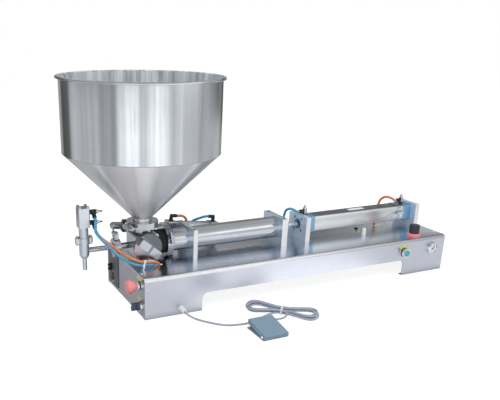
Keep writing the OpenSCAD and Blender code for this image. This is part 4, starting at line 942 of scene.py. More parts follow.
def closed_mesh(name: str, shape: bmesh.types.BMesh, smooth_below: float = 0.6) -> bpy.types.Mesh:
    """Turn a bmesh into a mesh with outward normals and smooth shading below an angle.

    Args:
        name: The mesh's name.
        shape: The bmesh, freed here.
        smooth_below: Angle in radians above which an edge stays sharp.

    Returns:
        The mesh.
    """
    bmesh.ops.recalc_face_normals(shape, faces=shape.faces)
    for face in shape.faces:
        face.smooth = True
    for edge in shape.edges:
        edge.smooth = len(edge.link_faces) == 2 and edge.calc_face_angle(0.0) < smooth_below
    mesh = bpy.data.meshes.new(name)
    shape.to_mesh(mesh)
    shape.free()
    return mesh


def merged_mesh(name: str, meshes: Iterable[bpy.types.Mesh]) -> bpy.types.Mesh:
    """Put meshes together as one.

    Args:
        name: The new mesh's name.
        meshes: The meshes, removed here.

    Returns:
        The mesh.
    """
    shape = bmesh.new()
    for mesh in meshes:
        shape.from_mesh(mesh)
        bpy.data.meshes.remove(mesh)
    return closed_mesh(name, shape)


def round_loop(
    shape: bmesh.types.BMesh, radius: float, height: float, sides: int, put: Matrix
) -> list[bmesh.types.BMVert]:
    """Add a round loop of points, or one point where the radius is 0.

    Args:
        shape: The bmesh.
        radius: The loop's radius in metres.
        height: Its height in metres.
        sides: Points round the loop.
        put: Where the loop's axis stands.

    Returns:
        The loop's points.
    """
    turns = [2 * math.pi * k / sides for k in range(sides if radius else 1)]
    spots = [(radius * math.cos(turn), radius * math.sin(turn), height) for turn in turns]
    return [shape.verts.new(put @ Vector(spot)) for spot in spots]


def bridge(
    shape: bmesh.types.BMesh, loops: Sequence[Sequence[bmesh.types.BMVert]], ends: bool = False
) -> None:
    """Join neighbouring loops of points with faces.

    Args:
        shape: The bmesh.
        loops: The loops in order; a loop of one point is a tip.
        ends: Whether the first and the last loop are closed.
    """
    for low, high in zip(loops, loops[1:]):
        for k in range(max(len(low), len(high))):
            near = [low[(k + i) % len(low)] for i in (0, 1)]
            far = [high[(k + i) % len(high)] for i in (1, 0)]
            corners = list(dict.fromkeys(near + far))
            if len(corners) > 2:
                shape.faces.new(corners)
    for loop in (loops[0], loops[-1]) if ends else ():
        shape.faces.new(loop)


def lathe(name: str, profile: Sequence[Pair], base: Vector, way: Vector, sides: int) -> bpy.types.Mesh:
    """Turn a profile about an axis.

    Args:
        name: The mesh's name.
        profile: Radius and height of each corner in millimetres, from the axis back to the axis.
        base: The axis's start, in the frame.
        way: The axis's direction.
        sides: Faces round the axis.

    Returns:
        The turned mesh.
    """
    shape = bmesh.new()
    put = Matrix.Translation(base) @ UP.rotation_difference(way.normalized()).to_matrix().to_4x4()
    bridge(shape, [round_loop(shape, radius * MM, height * MM, sides, put) for radius, height in profile])
    bmesh.ops.remove_doubles(shape, verts=shape.verts, dist=TURNED_WELD)
    return closed_mesh(name, shape)


def turned_piece(
    name: str, profile: Sequence[Pair], base: Vector, way: Vector, sides: int, finish: str,
    body: str = "machine",
) -> bpy.types.Object:
    """Make a piece that is turned about an axis, with the values that lathe and piece take."""
    return piece(name, lathe(name, profile, base, way, sides), finish, body)


def rounded_plate(
    name: str, centre: Vector, across: Vector, up: Vector, size: Point, radius: float
) -> bpy.types.Mesh:
    """Make a thin plate with round corners and a softened front edge.

    Args:
        name: The mesh's name.
        centre: The middle of its back, in the frame.
        across: Direction of its width.
        up: Direction of its height.
        size: Width, height and thickness in millimetres.
        radius: Radius of its corners in millimetres.

    Returns:
        The plate's mesh.
    """
    shape = bmesh.new()
    out = across.cross(up).normalized()
    wide, high, thick = size[0] / 2, size[1] / 2, size[2]
    turns = [2 * math.pi * (k + 0.5) / PLATE_POINTS for k in range(PLATE_POINTS)]
    loops: list[list[bmesh.types.BMVert]] = []
    for inset, level in ((0.0, 0.0), (0.0, 0.7 * thick), (0.3 * thick, thick)):
        loop = []
        for c, s in ((math.cos(turn), math.sin(turn)) for turn in turns):
            x = math.copysign(wide - radius, c) + (radius - inset) * c
            y = math.copysign(high - radius, s) + (radius - inset) * s
            loop.append(shape.verts.new(centre + (across * x + up * y + out * level) * MM))
        loops.append(loop)
    bridge(shape, loops, ends=True)
    return closed_mesh(name, shape, smooth_below=0.5)


def strap(name: str, spots: Sequence[Vector], side: Vector, width: float, thick: float) -> bpy.types.Mesh:
    """Sweep a flat band along a line.

    Args:
        name: The mesh's name.
        spots: The line's points in the frame.
        side: The direction of the band's width.
        width: Its width in millimetres.
        thick: Its thickness in millimetres.

    Returns:
        The band's mesh.
    """
    shape = bmesh.new()
    corners = ((-1, -1), (1, -1), (1, 1), (-1, 1))
    loops = []
    for k, spot in enumerate(spots):
        ahead = (spots[min(k + 1, len(spots) - 1)] - spots[max(k - 1, 0)]).normalized()
        across = (side - ahead * side.dot(ahead)).normalized()
        up = ahead.cross(across)
        offsets = [(across * a * width + up * b * thick) * MM / 2 for a, b in corners]
        loops.append([shape.verts.new(spot + offset) for offset in offsets])
    bridge(shape, loops, ends=True)
    return closed_mesh(name, shape, smooth_below=0.7)


def lines_mesh(name: str, lines: Sequence[Sequence[Vector]]) -> bpy.types.Mesh:
    """Make a mesh of open lines for a pattern to follow.

    Args:
        name: The mesh's name.
        lines: The points of each line.

    Returns:
        The mesh of edges.
    """
    spots: list[Vector] = []
    edges: list[tuple[int, int]] = []
    for line in lines:
        first = len(spots)
        spots.extend(line)
        edges.extend((first + k, first + k + 1) for k in range(len(line) - 1))
    mesh = bpy.data.meshes.new(name)
    mesh.from_pydata(spots, edges, [])
    return mesh


def points_mesh(name: str, spots: Sequence[Vector], ways: Sequence[Vector]) -> bpy.types.Mesh:
    """Make a mesh of points for a pattern to stand shapes on.

    Args:
        name: The mesh's name.
        spots: The points.
        ways: The direction that each point looks in.

    Returns:
        The mesh of points.
    """
    mesh = bpy.data.meshes.new(name)
    mesh.from_pydata(list(spots), [], [])
    mesh.attributes.new("way", "FLOAT_VECTOR", "POINT")
    for item, way in zip(mesh.attributes["way"].data, ways):
        item.vector = way
    return mesh


def cad_copy(node: str) -> bmesh.types.BMesh:
    """Copy a CAD node's mesh, with its corners merged.

    Args:
        node: The node's name.

    Returns:
        The copy.
    """
    shape = bmesh.new()
    shape.from_mesh(FRAME["nodes"][node].data)
    bmesh.ops.remove_doubles(shape, verts=shape.verts, dist=CAD_WELD)
    return shape


def islands(node: str) -> list[tuple[Vector, Vector]]:
    """Give the boxes of a CAD node's separate solids.

    Args:
        node: The node's name.

    Returns:
        The lowest and highest corner of each solid.
    """
    shape = cad_copy(node)
    left = dict.fromkeys(shape.verts)
    boxes = []
    while left:
        stack, found = [left.popitem()[0]], []
        while stack:
            vert = stack.pop()
            found.append(vert.co.copy())
            for other in (edge.other_vert(vert) for edge in vert.link_edges):
                if other in left:
                    del left[other]
                    stack.append(other)
        boxes.append(tuple(Vector([end(p[k] for p in found) for k in range(3)]) for end in (min, max)))
    shape.free()
    return boxes


class Pattern:
    """A Geometry Nodes tree with named sizes, whose result becomes a plain mesh."""

    def __init__(self, name: str) -> None:
        """Start an empty tree.

        Args:
            name: The tree's name.
        """
        self.tree = bpy.data.node_groups.new(name, "GeometryNodeTree")
        self.sheet = NodeSheet(self.tree)
        for way in ("INPUT", "OUTPUT"):
            self.tree.interface.new_socket("Geometry", in_out=way, socket_type="NodeSocketGeometry")
        self.entry = self.sheet.node("NodeGroupInput")
        self.values: dict[str, float | int] = {}

    def size(self, name: str, value: float | int) -> Socket:
        """Add a named size to the tree.

        Args:
            name: The size's name.
            value: Its value for this machine, in metres, radians or pieces.

        Returns:
            The socket that gives it.
        """
        kind = "NodeSocketInt" if isinstance(value, int) else "NodeSocketFloat"
        made = self.tree.interface.new_socket(name, in_out="INPUT", socket_type=kind)
        self.values[made.identifier] = value
        return self.entry.outputs[name]

    def tube(self, curve: Socket, radius: object, sides: object, caps: bool) -> Socket:
        """Sweep a round section along a curve.

        Args:
            curve: The curve.
            radius: The section's radius.
            sides: The section's sides.
            caps: Whether the tube's ends are closed.

        Returns:
            The tube's geometry.
        """
        ring = self.sheet.node("GeometryNodeCurvePrimitiveCircle", {"Radius": radius, "Resolution": sides})
        feeds = {"Curve": curve, "Profile Curve": ring.outputs[0], "Fill Caps": caps}
        swept = self.sheet.node("GeometryNodeCurveToMesh", feeds)
        return self.sheet.node("GeometryNodeSetShadeSmooth", {"Geometry": swept.outputs[0]}).outputs[0]

    def stand(self, shape: Socket) -> Socket:
        """Stand a shape on each point of the start mesh, turned along the point's way.

        Args:
            shape: The shape's geometry, which stands along Z.

        Returns:
            The socket of the stood shapes.
        """
        sheet = self.sheet
        way = sheet.node("GeometryNodeInputNamedAttribute", {"Name": "way"}, data_type="FLOAT_VECTOR")
        feeds = {"Vector": way.outputs["Attribute"]}
        turn = sheet.node("FunctionNodeAlignRotationToVector", feeds, axis="Z").outputs["Rotation"]
        feeds = {"Points": self.entry.outputs["Geometry"], "Instance": shape, "Rotation": turn}
        return sheet.node("GeometryNodeInstanceOnPoints", feeds).outputs[0]

    def close(self, geometry: Socket, finish: str) -> None:
        """End the tree in real geometry with its material.

        Args:
            geometry: The tree's result.
            finish: The finish's name.
        """
        real = self.sheet.node("GeometryNodeRealizeInstances", {0: geometry})
        feeds = {"Geometry": real.outputs[0], "Material": BOOK.get(finish)}
        self.sheet.node("NodeGroupOutput", {0: self.sheet.node("GeometryNodeSetMaterial", feeds).outputs[0]})

    def carry_out(self, name: str, start: bpy.types.Mesh) -> bpy.types.Mesh:
        """Run the tree on a starting mesh.

        Args:
            name: The name of the result.
            start: The mesh that the tree works on.

        Returns:
            The result as a plain mesh.
        """
        bench = add_object(name + "_bench", start)
        step = bench.modifiers.new("pattern", "NODES")
        step.node_group = self.tree
        for identifier, value in self.values.items():
            step[identifier] = value
        graph = bpy.context.evaluated_depsgraph_get()
        mesh = bpy.data.meshes.new_from_object(bench.evaluated_get(graph))
        mesh.name = name
        bench.modifiers.remove(step)
        bpy.data.objects.remove(bench)
        return mesh


def tube_mesh(
    name: str, lines: Sequence[Sequence[Vector]], diameter: float, finish: str, sides: int
) -> bpy.types.Mesh:
    """Make round tubes with closed ends along lines.

    Args:
        name: The mesh's name.
        lines: The points of each line, in the frame.
        diameter: The tubes' diameter in millimetres.
        finish: The finish's name.
        sides: Faces round a tube.

    Returns:
        The mesh.
    """
    pattern = Pattern(name + "_tubes")
    half = pattern.sheet.sum("MULTIPLY", pattern.size("Diameter", diameter * MM), 0.5)
    line = pattern.sheet.node("GeometryNodeMeshToCurve", {"Mesh": pattern.entry.outputs["Geometry"]})
    pattern.close(pattern.tube(line.outputs[0], half, pattern.size("Sides", sides), True), finish)
    return pattern.carry_out(name, lines_mesh(name + "_lines", lines))


def ring_mesh(
    name: str, spots: Sequence[Vector], reach: float, thick: float, finish: str, sides: int
) -> bpy.types.Mesh:
    """Lay a round ring on each of some points.

    Args:
        name: The mesh's name.
        spots: The rings' centres, in the frame.
        reach: A ring's radius in millimetres.
        thick: The radius of its section in millimetres.
        finish: The finish's name.
        sides: Pieces round the ring.

    Returns:
        The mesh.
    """
    pattern = Pattern(name + "_rings")
    feeds = {"Radius": pattern.size("Reach", reach * MM), "Resolution": pattern.size("Sides", sides)}
    loop = pattern.sheet.node("GeometryNodeCurvePrimitiveCircle", feeds)
    ring = pattern.tube(loop.outputs[0], pattern.size("Thickness", thick * MM), RING_SECTION, False)
    pattern.close(pattern.stand(ring), finish)
    return pattern.carry_out(name, points_mesh(name + "_spots", spots, [UP] * len(spots)))


@dataclass
class PhotoCamera:
    """The camera, at the photograph's viewing angle."""

    spot: Point = (-582.66, -1500.49, 760.57)
    yaw: float = 24.52
    pitch: float = 20.58
    roll: float = -0.81
    sensor: float = 36.0
    lens: float = 46.397
    shift: Pair = (0.14116, 0.13482)
    clip: Pair = (0.05, 60.0)

    def build(self) -> bpy.types.Object:
        """Make the camera and give it to the scene.

        Returns:
            The camera.
        """
        yaw, pitch, roll = (math.radians(a) for a in (self.yaw, self.pitch, self.roll))
        ahead = Vector((math.sin(yaw) * math.cos(pitch), math.cos(yaw) * math.cos(pitch), -math.sin(pitch)))
        level = Vector((math.cos(yaw), -math.sin(yaw), 0.0))
        down = ahead.cross(level)
        right = level * math.cos(roll) + down * math.sin(roll)
        low = down * math.cos(roll) - level * math.sin(roll)
        turn = Matrix((right, -low, -ahead)).transposed().to_4x4()
        data = bpy.data.cameras.new("photo_camera")
        data.sensor_width, data.lens = self.sensor, self.lens
        data.shift_x, data.shift_y = self.shift
        data.clip_start, data.clip_end = self.clip
        camera = add_object("photo_camera", data)
        camera.matrix_world = Matrix.Translation(place(*self.spot)) @ turn
        bpy.context.scene.camera = camera
        return camera


@dataclass
class Studio:
    """White floor and backdrop, soft lamps, and a ring of grey cards that only metal reflects.

    Places are in metres in the frame. Cards are painted by bearing, from -180 to 180 degrees as 0 to 1,
    and behind the machine by height, from the floor to the ring's top as 0 to 1.
    """

    sky: float = 0.62
    sky_colour: Colour = (0.96, 0.98, 1.0)
    lamps: tuple[tuple[str, Point, float, float], ...] = (
        ("key_lamp", (-1.6, -2.2, 3.0), 2.2, 52.0),
        ("fill_lamp", (2.6, -1.8, 2.2), 2.4, 22.0),
        ("back_lamp", (0.6, 2.6, 2.6), 2.4, 26.0),
    )
    lamps_look_at: Point = (0.0, 0.0, 0.2)
    floor_size: float = 14.0
    floor_height: float = -0.0004
    floor_colour: Colour = (0.30, 0.30, 0.305)
    floor_glow: float = 0.86
    floor_front: float = 0.75
    floor_behind: float = 0.36
    floor_pool: float = 0.8
    pool_middle: float = 0.09
    pool_reach: Pair = (0.40, 0.27)
    pool_depth: tuple[float, float, float, float] = (-0.42, -0.24, 0.25, 1.0)
    machine_front: Pair = (-0.105, -0.078)
    ring_radius: float = 1.25
    ring_sides: int = 96
    ring_levels: tuple[float, ...] = (0.0, 0.35, 0.7, 1.2, 2.1)
    card_strength: float = 2.0
    camera_bearing: float = 24.5
    high_from: Pair = (0.55, 0.66)
    upper_tone: float = 0.33
    upper_from: Pair = (1.0, 1.15)
    top_tone: float = 0.27
    top_from: Pair = (1.75, 2.05)
    foot_tone: float = 0.34
    foot_below: Pair = (0.37, 0.33)
    foot_left: Pair = (0.72, 0.78)
    foot_right: Pair = (0.95, 0.9)
    behind_from: Pair = (2.6, 2.85)
    streak_scale: float = 85.0
    streak_detail: float = 3.0
    streak_span: tuple[float, float, float, float] = (0.35, 0.7, 0.0, 0.3)
    streak_tone: float = 0.12
    low_cards: Stops = (
        (0.00, 0.25), (0.14, 0.20), (0.175, 0.22), (0.19, 0.04), (0.236, 0.07), (0.25, 0.42), (0.27, 0.40),
        (0.30, 0.36), (0.335, 0.42), (0.345, 0.27), (0.365, 0.33), (0.38, 0.20), (0.39, 0.58), (0.41, 0.86),
        (0.446, 1.0), (0.455, 0.54), (0.475, 0.60), (0.487, 0.84), (0.51, 1.0), (0.55, 0.80), (0.575, 0.40),
        (0.61, 0.60), (0.64, 0.40), (0.70, 0.40), (0.738, 0.24), (0.765, 0.33), (0.80, 0.24), (0.88, 0.09),
        (0.95, 0.2),
    )
    high_cards: Stops = (
        (0.0, 0.06), (0.14, 0.07), (0.25, 0.13), (0.42, 0.17), (0.56, 0.25), (0.60, 0.52), (0.63, 0.84),
        (0.70, 0.84), (0.74, 0.38), (0.80, 0.21), (0.88, 0.08), (1.0, 0.06),
    )
    back_cards: Stops = (
        (0.0, 0.22), (0.13, 0.18), (0.17, 0.05), (0.26, 0.05), (0.29, 0.36), (0.325, 0.42), (0.37, 0.07),
        (0.48, 0.08), (0.62, 0.20), (1.0, 0.20),
    )

    def build(self) -> None:
        """Make the world, the floor, the ring of cards and the lamps."""
        bpy.context.scene.view_settings.view_transform = "Standard"
        self._world()
        self._floor()
        self._ring()
        for name, spot, size, watts in self.lamps:
            data = bpy.data.lights.new(name, "AREA")
            data.size, data.energy = size, watts
            lamp = add_object(name, data)
            lamp.location = spot
            aim = Vector(self.lamps_look_at) - lamp.location
            lamp.rotation_euler = aim.to_track_quat("-Z", "Y").to_euler()
            lamp.visible_glossy = False

    def _world(self) -> None:
        """Make a world that is white to the eye and lights softly."""
        world = bpy.data.worlds.new("white_studio")
        world.use_nodes = True
        bpy.context.scene.world = world
        world.node_tree.nodes.clear()
        sheet = NodeSheet(world.node_tree)
        path = sheet.node("ShaderNodeLightPath").outputs
        seen = sheet.sum("ADD", path["Is Camera Ray"], path["Is Glossy Ray"])
        seen = sheet.sum("MINIMUM", sheet.sum("ADD", seen, path["Is Transmission Ray"]), 1.0)
        soft = sheet.node("ShaderNodeBackground", {"Color": tint(self.sky_colour), "Strength": self.sky})
        white = sheet.node("ShaderNodeBackground", {"Color": grey(1.0)})
        mixed = sheet.node("ShaderNodeMixShader", {0: seen, 1: soft.outputs[0], 2: white.outputs[0]})
        sheet.node("ShaderNodeOutputWorld", {0: mixed.outputs[0]})

    def _floor_tone(self, sheet: NodeSheet) -> Socket:
        """Draw the floor's glow: white to the eye, and in metal brighter before the machine than behind.

        Args:
            sheet: The floor's nodes.

        Returns:
            The glow's socket.
        """
        path = sheet.node("ShaderNodeLightPath").outputs
        aside = sheet.sum("ABSOLUTE", sheet.sum("SUBTRACT", sheet.axis("X"), self.pool_middle))
        pool = sheet.span(aside, *self.pool_reach, 0.0, self.floor_pool)
        near = sheet.span(sheet.axis("Y"), *self.pool_depth)
        before = sheet.sum("MULTIPLY_ADD", pool, near, self.floor_front)
        gap = sheet.sum("SUBTRACT", self.floor_behind, before)
        mirrored = sheet.sum("MULTIPLY_ADD", sheet.span(sheet.axis("Y"), *self.machine_front), gap, before)
        shown = sheet.sum("ADD", path["Is Camera Ray"], path["Is Transmission Ray"])
        shown = sheet.sum("MULTIPLY", sheet.sum("MINIMUM", shown, 1.0), self.floor_glow)
        return sheet.sum("MAXIMUM", shown, sheet.sum("MULTIPLY", path["Is Glossy Ray"], mirrored))

    def _floor(self) -> None:
        """Make the pale floor, which keeps the machine's soft shadow."""
        half = self.floor_size / 2
        corners = [(-half, -half, 0), (half, -half, 0), (half, half, 0), (-half, half, 0)]
        mesh = bpy.data.meshes.new("pale_floor")
        mesh.from_pydata(corners, [], [(0, 1, 2, 3)])
        floor = add_object("pale_floor", mesh)
        floor.location.z = self.floor_height
        material, sheet = bare_material("pale_floor")
        matt = sheet.node("ShaderNodeBsdfDiffuse", {"Color": tint(self.floor_colour)})
        glow = sheet.node("ShaderNodeEmission", {"Color": grey(1.0), "Strength": self._floor_tone(sheet)})
        both = sheet.node("ShaderNodeAddShader", {0: matt.outputs[0], 1: glow.outputs[0]})
        sheet.node("ShaderNodeOutputMaterial", {0: both.outputs[0]})
        mesh.materials.append(material)

    def _ring(self) -> None:
        """Make the ring of cards and its soft box overhead, seen only in reflections."""
        shape = bmesh.new()
        upright = Matrix.Identity(4)
        rings = [round_loop(shape, self.ring_radius, z, self.ring_sides, upright) for z in self.ring_levels]
        bridge(shape, rings)
        shape.faces.new(rings[-1])
        mesh = bpy.data.meshes.new("reflection_cards")
        shape.to_mesh(mesh)
        shape.free()
        ring = add_object("reflection_cards", mesh)
        for ray in ("camera", "diffuse", "transmission", "volume_scatter", "shadow"):
            setattr(ring, "visible_" + ray, False)
        mesh.materials.append(self._card_material())

    def _card_material(self) -> bpy.types.Material:
        """Paint the cards: tones by bearing, low and high, by height behind the machine, and one on top.

        Returns:
            The cards' material.
        """
        material, sheet = bare_material("reflection_cards")
        spot, height = sheet.node("ShaderNodeTexCoord").outputs["Object"], sheet.axis("Z")
        front = math.radians(self.camera_bearing)
        ahead = sheet.vector("DOT_PRODUCT", spot, (-math.sin(front), -math.cos(front), 0.0))
        aside = sheet.vector("DOT_PRODUCT", spot, (math.cos(front), -math.sin(front), 0.0))
        bearing = sheet.sum("ARCTAN2", aside, ahead)
        turn = sheet.span(bearing, -math.pi, math.pi)
        feeds = {"W": turn, "Scale": self.streak_scale, "Detail": self.streak_detail}
        streaks = sheet.node("ShaderNodeTexNoise", feeds, noise_dimensions="1D")
        streak = sheet.span(streaks.outputs["Fac"], *self.streak_span)
        low = sheet.blend(streak, sheet.ramp(turn, self.low_cards), grey(self.streak_tone))
        high = sheet.ramp(turn, self.high_cards)
        tone = sheet.blend(sheet.span(height, *self.high_from), low, high)
        tone = sheet.blend(sheet.span(height, *self.upper_from), tone, grey(self.upper_tone))
        foot = sheet.sum("MULTIPLY", sheet.span(turn, *self.foot_left), sheet.span(turn, *self.foot_right))
        foot = sheet.sum("MULTIPLY", foot, sheet.span(height, *self.foot_below))
        tone = sheet.blend(foot, tone, grey(self.foot_tone))
        back = sheet.ramp(sheet.span(height, 0.0, self.ring_levels[-1]), self.back_cards)
        tone = sheet.blend(sheet.span(sheet.sum("ABSOLUTE", bearing), *self.behind_from), tone, back)
        tone = sheet.blend(sheet.span(height, *self.top_from), tone, grey(self.top_tone))
        glow = sheet.node("ShaderNodeEmission", {"Color": tone, "Strength": self.card_strength})
        sheet.node("ShaderNodeOutputMaterial", {0: glow.outputs[0]})
        return material


@dataclass
class PedalLead:
    """The pedal's cord: out of its gland, along the floor, four loops in a tied hank, to the pedal."""

    diameter: float = 5.4
    hank_at: Pair = (380.0, -98.0)
    hank_turn: float = -42.0
    loops: int = 4
    half: float = 104.0
    lobe: float = 27.0
    waist: float = 15.0
    step: float = 7.0
    lobe_step: float = 5.0
    lobe_swell: float = 2.6
    waist_step: float = 6.0
    lift: float = 3.9
    rise: float = 6.4
    floor: float = 2.9
    crossing: float = 0.5
    loop_steps: int = 32
    route_steps: int = 4
    roundness: int = 4

    def hank_point(self, u: float) -> Vector:
        """Give a point of the hank.

        Args:
            u: Loops from the hank's start.

        Returns:
            The point in machine millimetres.
        """
        t = math.radians(360 * u - 90)
        inward = u if u < self.loops / 2 else self.loops - u
        s, c = math.sin(t), math.cos(t)
        x = (self.half - inward * self.step) * c
        y = (self.waist - inward * self.waist_step) * s
        y += (self.lobe - inward * self.lobe_step) * self.lobe_swell * c * c * s
        a = math.radians(self.hank_turn)
        ramp = min(1.0, max(0.0, (u - self.loops / 2 + self.crossing / 2) / self.crossing))
        east, north = x * math.cos(a) - y * math.sin(a), x * math.sin(a) + y * math.cos(a)
        return Vector((self.hank_at[0] + east, self.hank_at[1] + north, self.lift + self.rise * ramp))

    def line(self) -> list[Vector]:
        """Draw the whole cord's centre line.

        Returns:
            Its points in machine millimetres.
        """
        low = self.floor
        start, end = self.hank_point(0), self.hank_point(self.loops)
        out = [
            (108, -22, 18), (108, -32, 17.6), (112, -43, 14.4), (123, -55, 8.6), (138, -67, 4.2),
            (154, -84, low), (172, -104, low), (194, -120, low), (224, -128, low), (256, -129, low),
            (286, -122, low), (310, -110, low), (330, -102.5, low), (347, -99.8, 3.3), (360.3, -102, 3.9),
        ]
        back = [
            (286, -151, 5.6), (287.6, -141.5, 5), (295, -135.2, 3.6), (309, -134.4, low), (325, -136, low),
            (341, -138.5, low), (356, -139.5, 3.6), (369, -136, 6), (376.6, -127.5, 9), (376, -116.8, 10.3),
        ]
        hank = [self.hank_point(k / self.loop_steps) for k in range(1, self.loop_steps * self.loops)]
        first, last = (smooth_line(route, self.route_steps) for route in ([*out, start], [*back, end]))
        return first + hank + last[::-1]

    def build(self, tie: bpy.types.Object) -> bpy.types.Object:
        """Args:
            tie: The tie round its hank.

        Returns:
            The cord.
        """
        spots = [place(*p) for p in self.line()]
        data = bpy.data.curves.new("pedal_lead", "CURVE")
        data.dimensions = "3D"
        data.bevel_depth = self.diameter / 2 * MM
        data.bevel_resolution = self.roundness
        data.use_fill_caps = True
        spline = data.splines.new("POLY")
        spline.points.add(len(spots) - 1)
        for point, spot in zip(spline.points, spots):
            point.co = (*spot, 1.0)
        spline.use_smooth = True
        data.materials.append(BOOK.get("grey_cord"))
        lead = add_object("pedal_lead", data)
        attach(lead, "machine")
        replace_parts(lead, "pedal_cord", "cord_hank")
        return lead


@dataclass
class AirHoses:
    """The blue and orange air hoses, from each fitting to its hole in the deck."""

    diameter: float = 8.0
    sides: int = 20
    collet_sides: int = 24
    steps: int = 8
    deck: float = 120.0
    in_hole: Pair = (14.0, -18.0)
    in_fitting: float = 6.0
    tilt: float = 7.0
    lean: Point = (0.0, -0.766044, -0.642788)
    upper_tip: Point = (-90.0, 143.179, 264.144)
    lower_tip: Point = (-90.0, 143.179, 234.144)
    front_tip: Point = (594.0, 158.5, 207.5)
    rear_tip: Point = (992.0, 158.5, 207.5)
    left_elbow: Point = (196.25, 236.5, 214.74)
    right_elbow: Point = (308.41, 236.5, 200.96)

    def _along_actuator(self) -> Vector:
        """Give the valve actuator's direction, from its rod to its rear."""
        tilt = math.radians(self.tilt)
        return Vector((math.cos(tilt), 0.0, -math.sin(tilt)))

    def _down(self, x: float, y: float) -> list[Vector]:
        """Give the straight end of a hose in its hole."""
        return [Vector((x, y, self.deck + level)) for level in self.in_hole]

    def _out(self, tip: Point, way: Vector, first: float, steps: Sequence[Point] = ()) -> list[Vector]:
        """Give a hose's start: straight out of its fitting, then steps measured from the tip."""
        spot = Vector(tip)
        return [spot - self.in_fitting * way, spot, spot + first * way, *(spot + Vector(s) for s in steps)]

    def blue_lines(self) -> list[list[Vector]]:
        """Draw the routes of the three blue hoses.

        Returns:
            The points of each route, in machine millimetres.
        """
        nozzle = [
            (-94, 125, 247), (-97, 113, 232), (-84, 102, 212), (-66, 95.5, 191.5), (-48, 90.5, 171),
            (-27, 87, 152.5), (-6, 85, 138.5), (14, 84, 131), (30, 84, 128.6), (46, 85.2, 127.9),
            (56.5, 88, 125.8), (63, 92, 121.2), (67.5, 97, 113.8), (71, 102, 104),
        ]
        front = [(-15, 2.5, 4), (-23, 9.5, 8.5), (-28.5, 21.5, 5.5), (-30, 37.5, -10.5)]
        rear = [(-24, 8, -4), (-45, 25, -18), (-54, 31, -42)]
        return [
            self._out(self.upper_tip, Vector(self.lean), 10) + nozzle,
            self._out(self.front_tip, LEFT, 7, front) + self._down(566, 214),
            self._out(self.right_elbow, -self._along_actuator(), 9, rear) + self._down(252, 268),
        ]

    def orange_lines(self) -> list[list[Vector]]:
        """Draw the routes of the three orange hoses.

        Returns:
            The points of each route, in machine millimetres.
        """
        nozzle = [
            (-87, 122, 219), (-76, 107.5, 208), (-58, 99, 194), (-37, 93, 175.5), (-15, 89, 158.5),
            (8, 86, 145.5), (30, 84.6, 138), (50, 85.6, 136), (66, 88.3, 132.3), (76.5, 92.5, 126.8),
            (83.3, 97.6, 119.2), (87.5, 102.5, 110.5), (90, 107, 102),
        ]
        rear = [(-20, 6, 8), (-33, 22, 9), (-37, 42, -12)]
        front = [(20, 3, -3), (35, 9, -13), (44, 17, -32), (43, 26, -58)]
        return [
            self._out(self.lower_tip, Vector(self.lean), 8) + nozzle,
            self._out(self.rear_tip, LEFT, 8, rear) + self._down(955, 214),
            self._out(self.left_elbow, self._along_actuator(), 8, front) + self._down(236, 268),
        ]

    def build(self) -> None:
        """Make the hoses, and the release ring round each hose at its fitting."""
        for colour, routes in (("blue", self.blue_lines()), ("orange", self.orange_lines())):
            finish = colour + "_hose"
            lines = [placed_line(route, self.steps) for route in routes]
            mesh = tube_mesh(finish + "_runs", lines, self.diameter, finish, self.sides)
            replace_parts(piece(finish + "_runs", mesh, finish), colour + "_hoses")
        lean, rear = Vector(self.lean), self._along_actuator()
        seats = (
            (self.upper_tip, lean), (self.lower_tip, lean), (self.front_tip, LEFT), (self.rear_tip, LEFT),
            (self.left_elbow, rear), (self.right_elbow, -rear),
        )
        ring = [(4.06, 0.0), (5.4, 0.0), (5.4, 0.8), (5.0, 1.6), (4.06, 1.6), (4.06, 0.0)]
        collets = (lathe("collet", ring, place(*tip), way, self.collet_sides) for tip, way in seats)
        piece("hose_collets", merged_mesh("hose_collets", collets), "black_plastic")


@dataclass
class SensorLead:
    """The thin wire from the barrel's switch, through its sleeve, to a gland on the deck."""

    diameter: float = 2.6
    sides: int = 14
    sleeve_sides: int = 24
    steps: int = 8
    sleeve: Point = (876.0, 116.0, 141.0)
    switch: Point = (973.0, 129.0, 170.0)
    gland: Point = (822.0, 108.0, 136.0)

    def build(self) -> None:
        """Make the wire and its sleeve."""
        first = [
            self.switch, (965, 129, 170), (944, 123, 159), (914, 117, 146), (901, 116, 141),
            (892.15, 116, 141),
        ]
        second = [
            (875.85, 116, 141), (866, 115, 141), (852, 110, 144), (838, 107, 153), (827, 108, 156),
            (822, 108, 149), self.gland,
        ]
        lines = [placed_line(route, self.steps) for route in (first, second)]
        mesh = tube_mesh("sensor_lead", lines, self.diameter, "grey_cord", self.sides)
        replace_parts(piece("sensor_lead", mesh, "grey_cord"), "sensor_wire")
        profile = [
            (0, -0.2), (1.6, -0.2), (2.3, 0.6), (2.5, 1.6), (2.2, 5.0), (2.5, 8.0), (2.2, 11.0), (2.5, 14.4),
            (2.3, 15.4), (1.6, 16.2), (0, 16.2),
        ]
        base = place(*self.sleeve)
        turned_piece("wire_sleeve", profile, base, RIGHT, self.sleeve_sides, "sleeve_green")


@dataclass
class BareLabels:
    """The label plates of the panels and the barrel, left bare."""

    thickness: float = 0.35
    corner: float = 1.6

    def build(self) -> None:
        """Make each plate on the surface that carries it."""
        barrel_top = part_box("air_barrel")[1].z / MM
        plates = (
            ("estop_label", (-0.02, 41, 109), FRONT, UP, (37, 12), "label_yellow"),
            ("selector_label", (-0.02, 45, 49), FRONT, UP, (30, 11), "label_yellow"),
            ("start_label", (902, -0.02, 98.5), RIGHT, UP, (35, 11), "label_yellow"),
            ("barrel_label", (819, 158.5, barrel_top), RIGHT, BACK, (62, 18), "label_white"),
        )
        for name, spot, across, rise, size, finish in plates:
            mesh = rounded_plate(name, place(*spot), across, rise, (*size, self.thickness), self.corner)
            piece(name, mesh, finish)


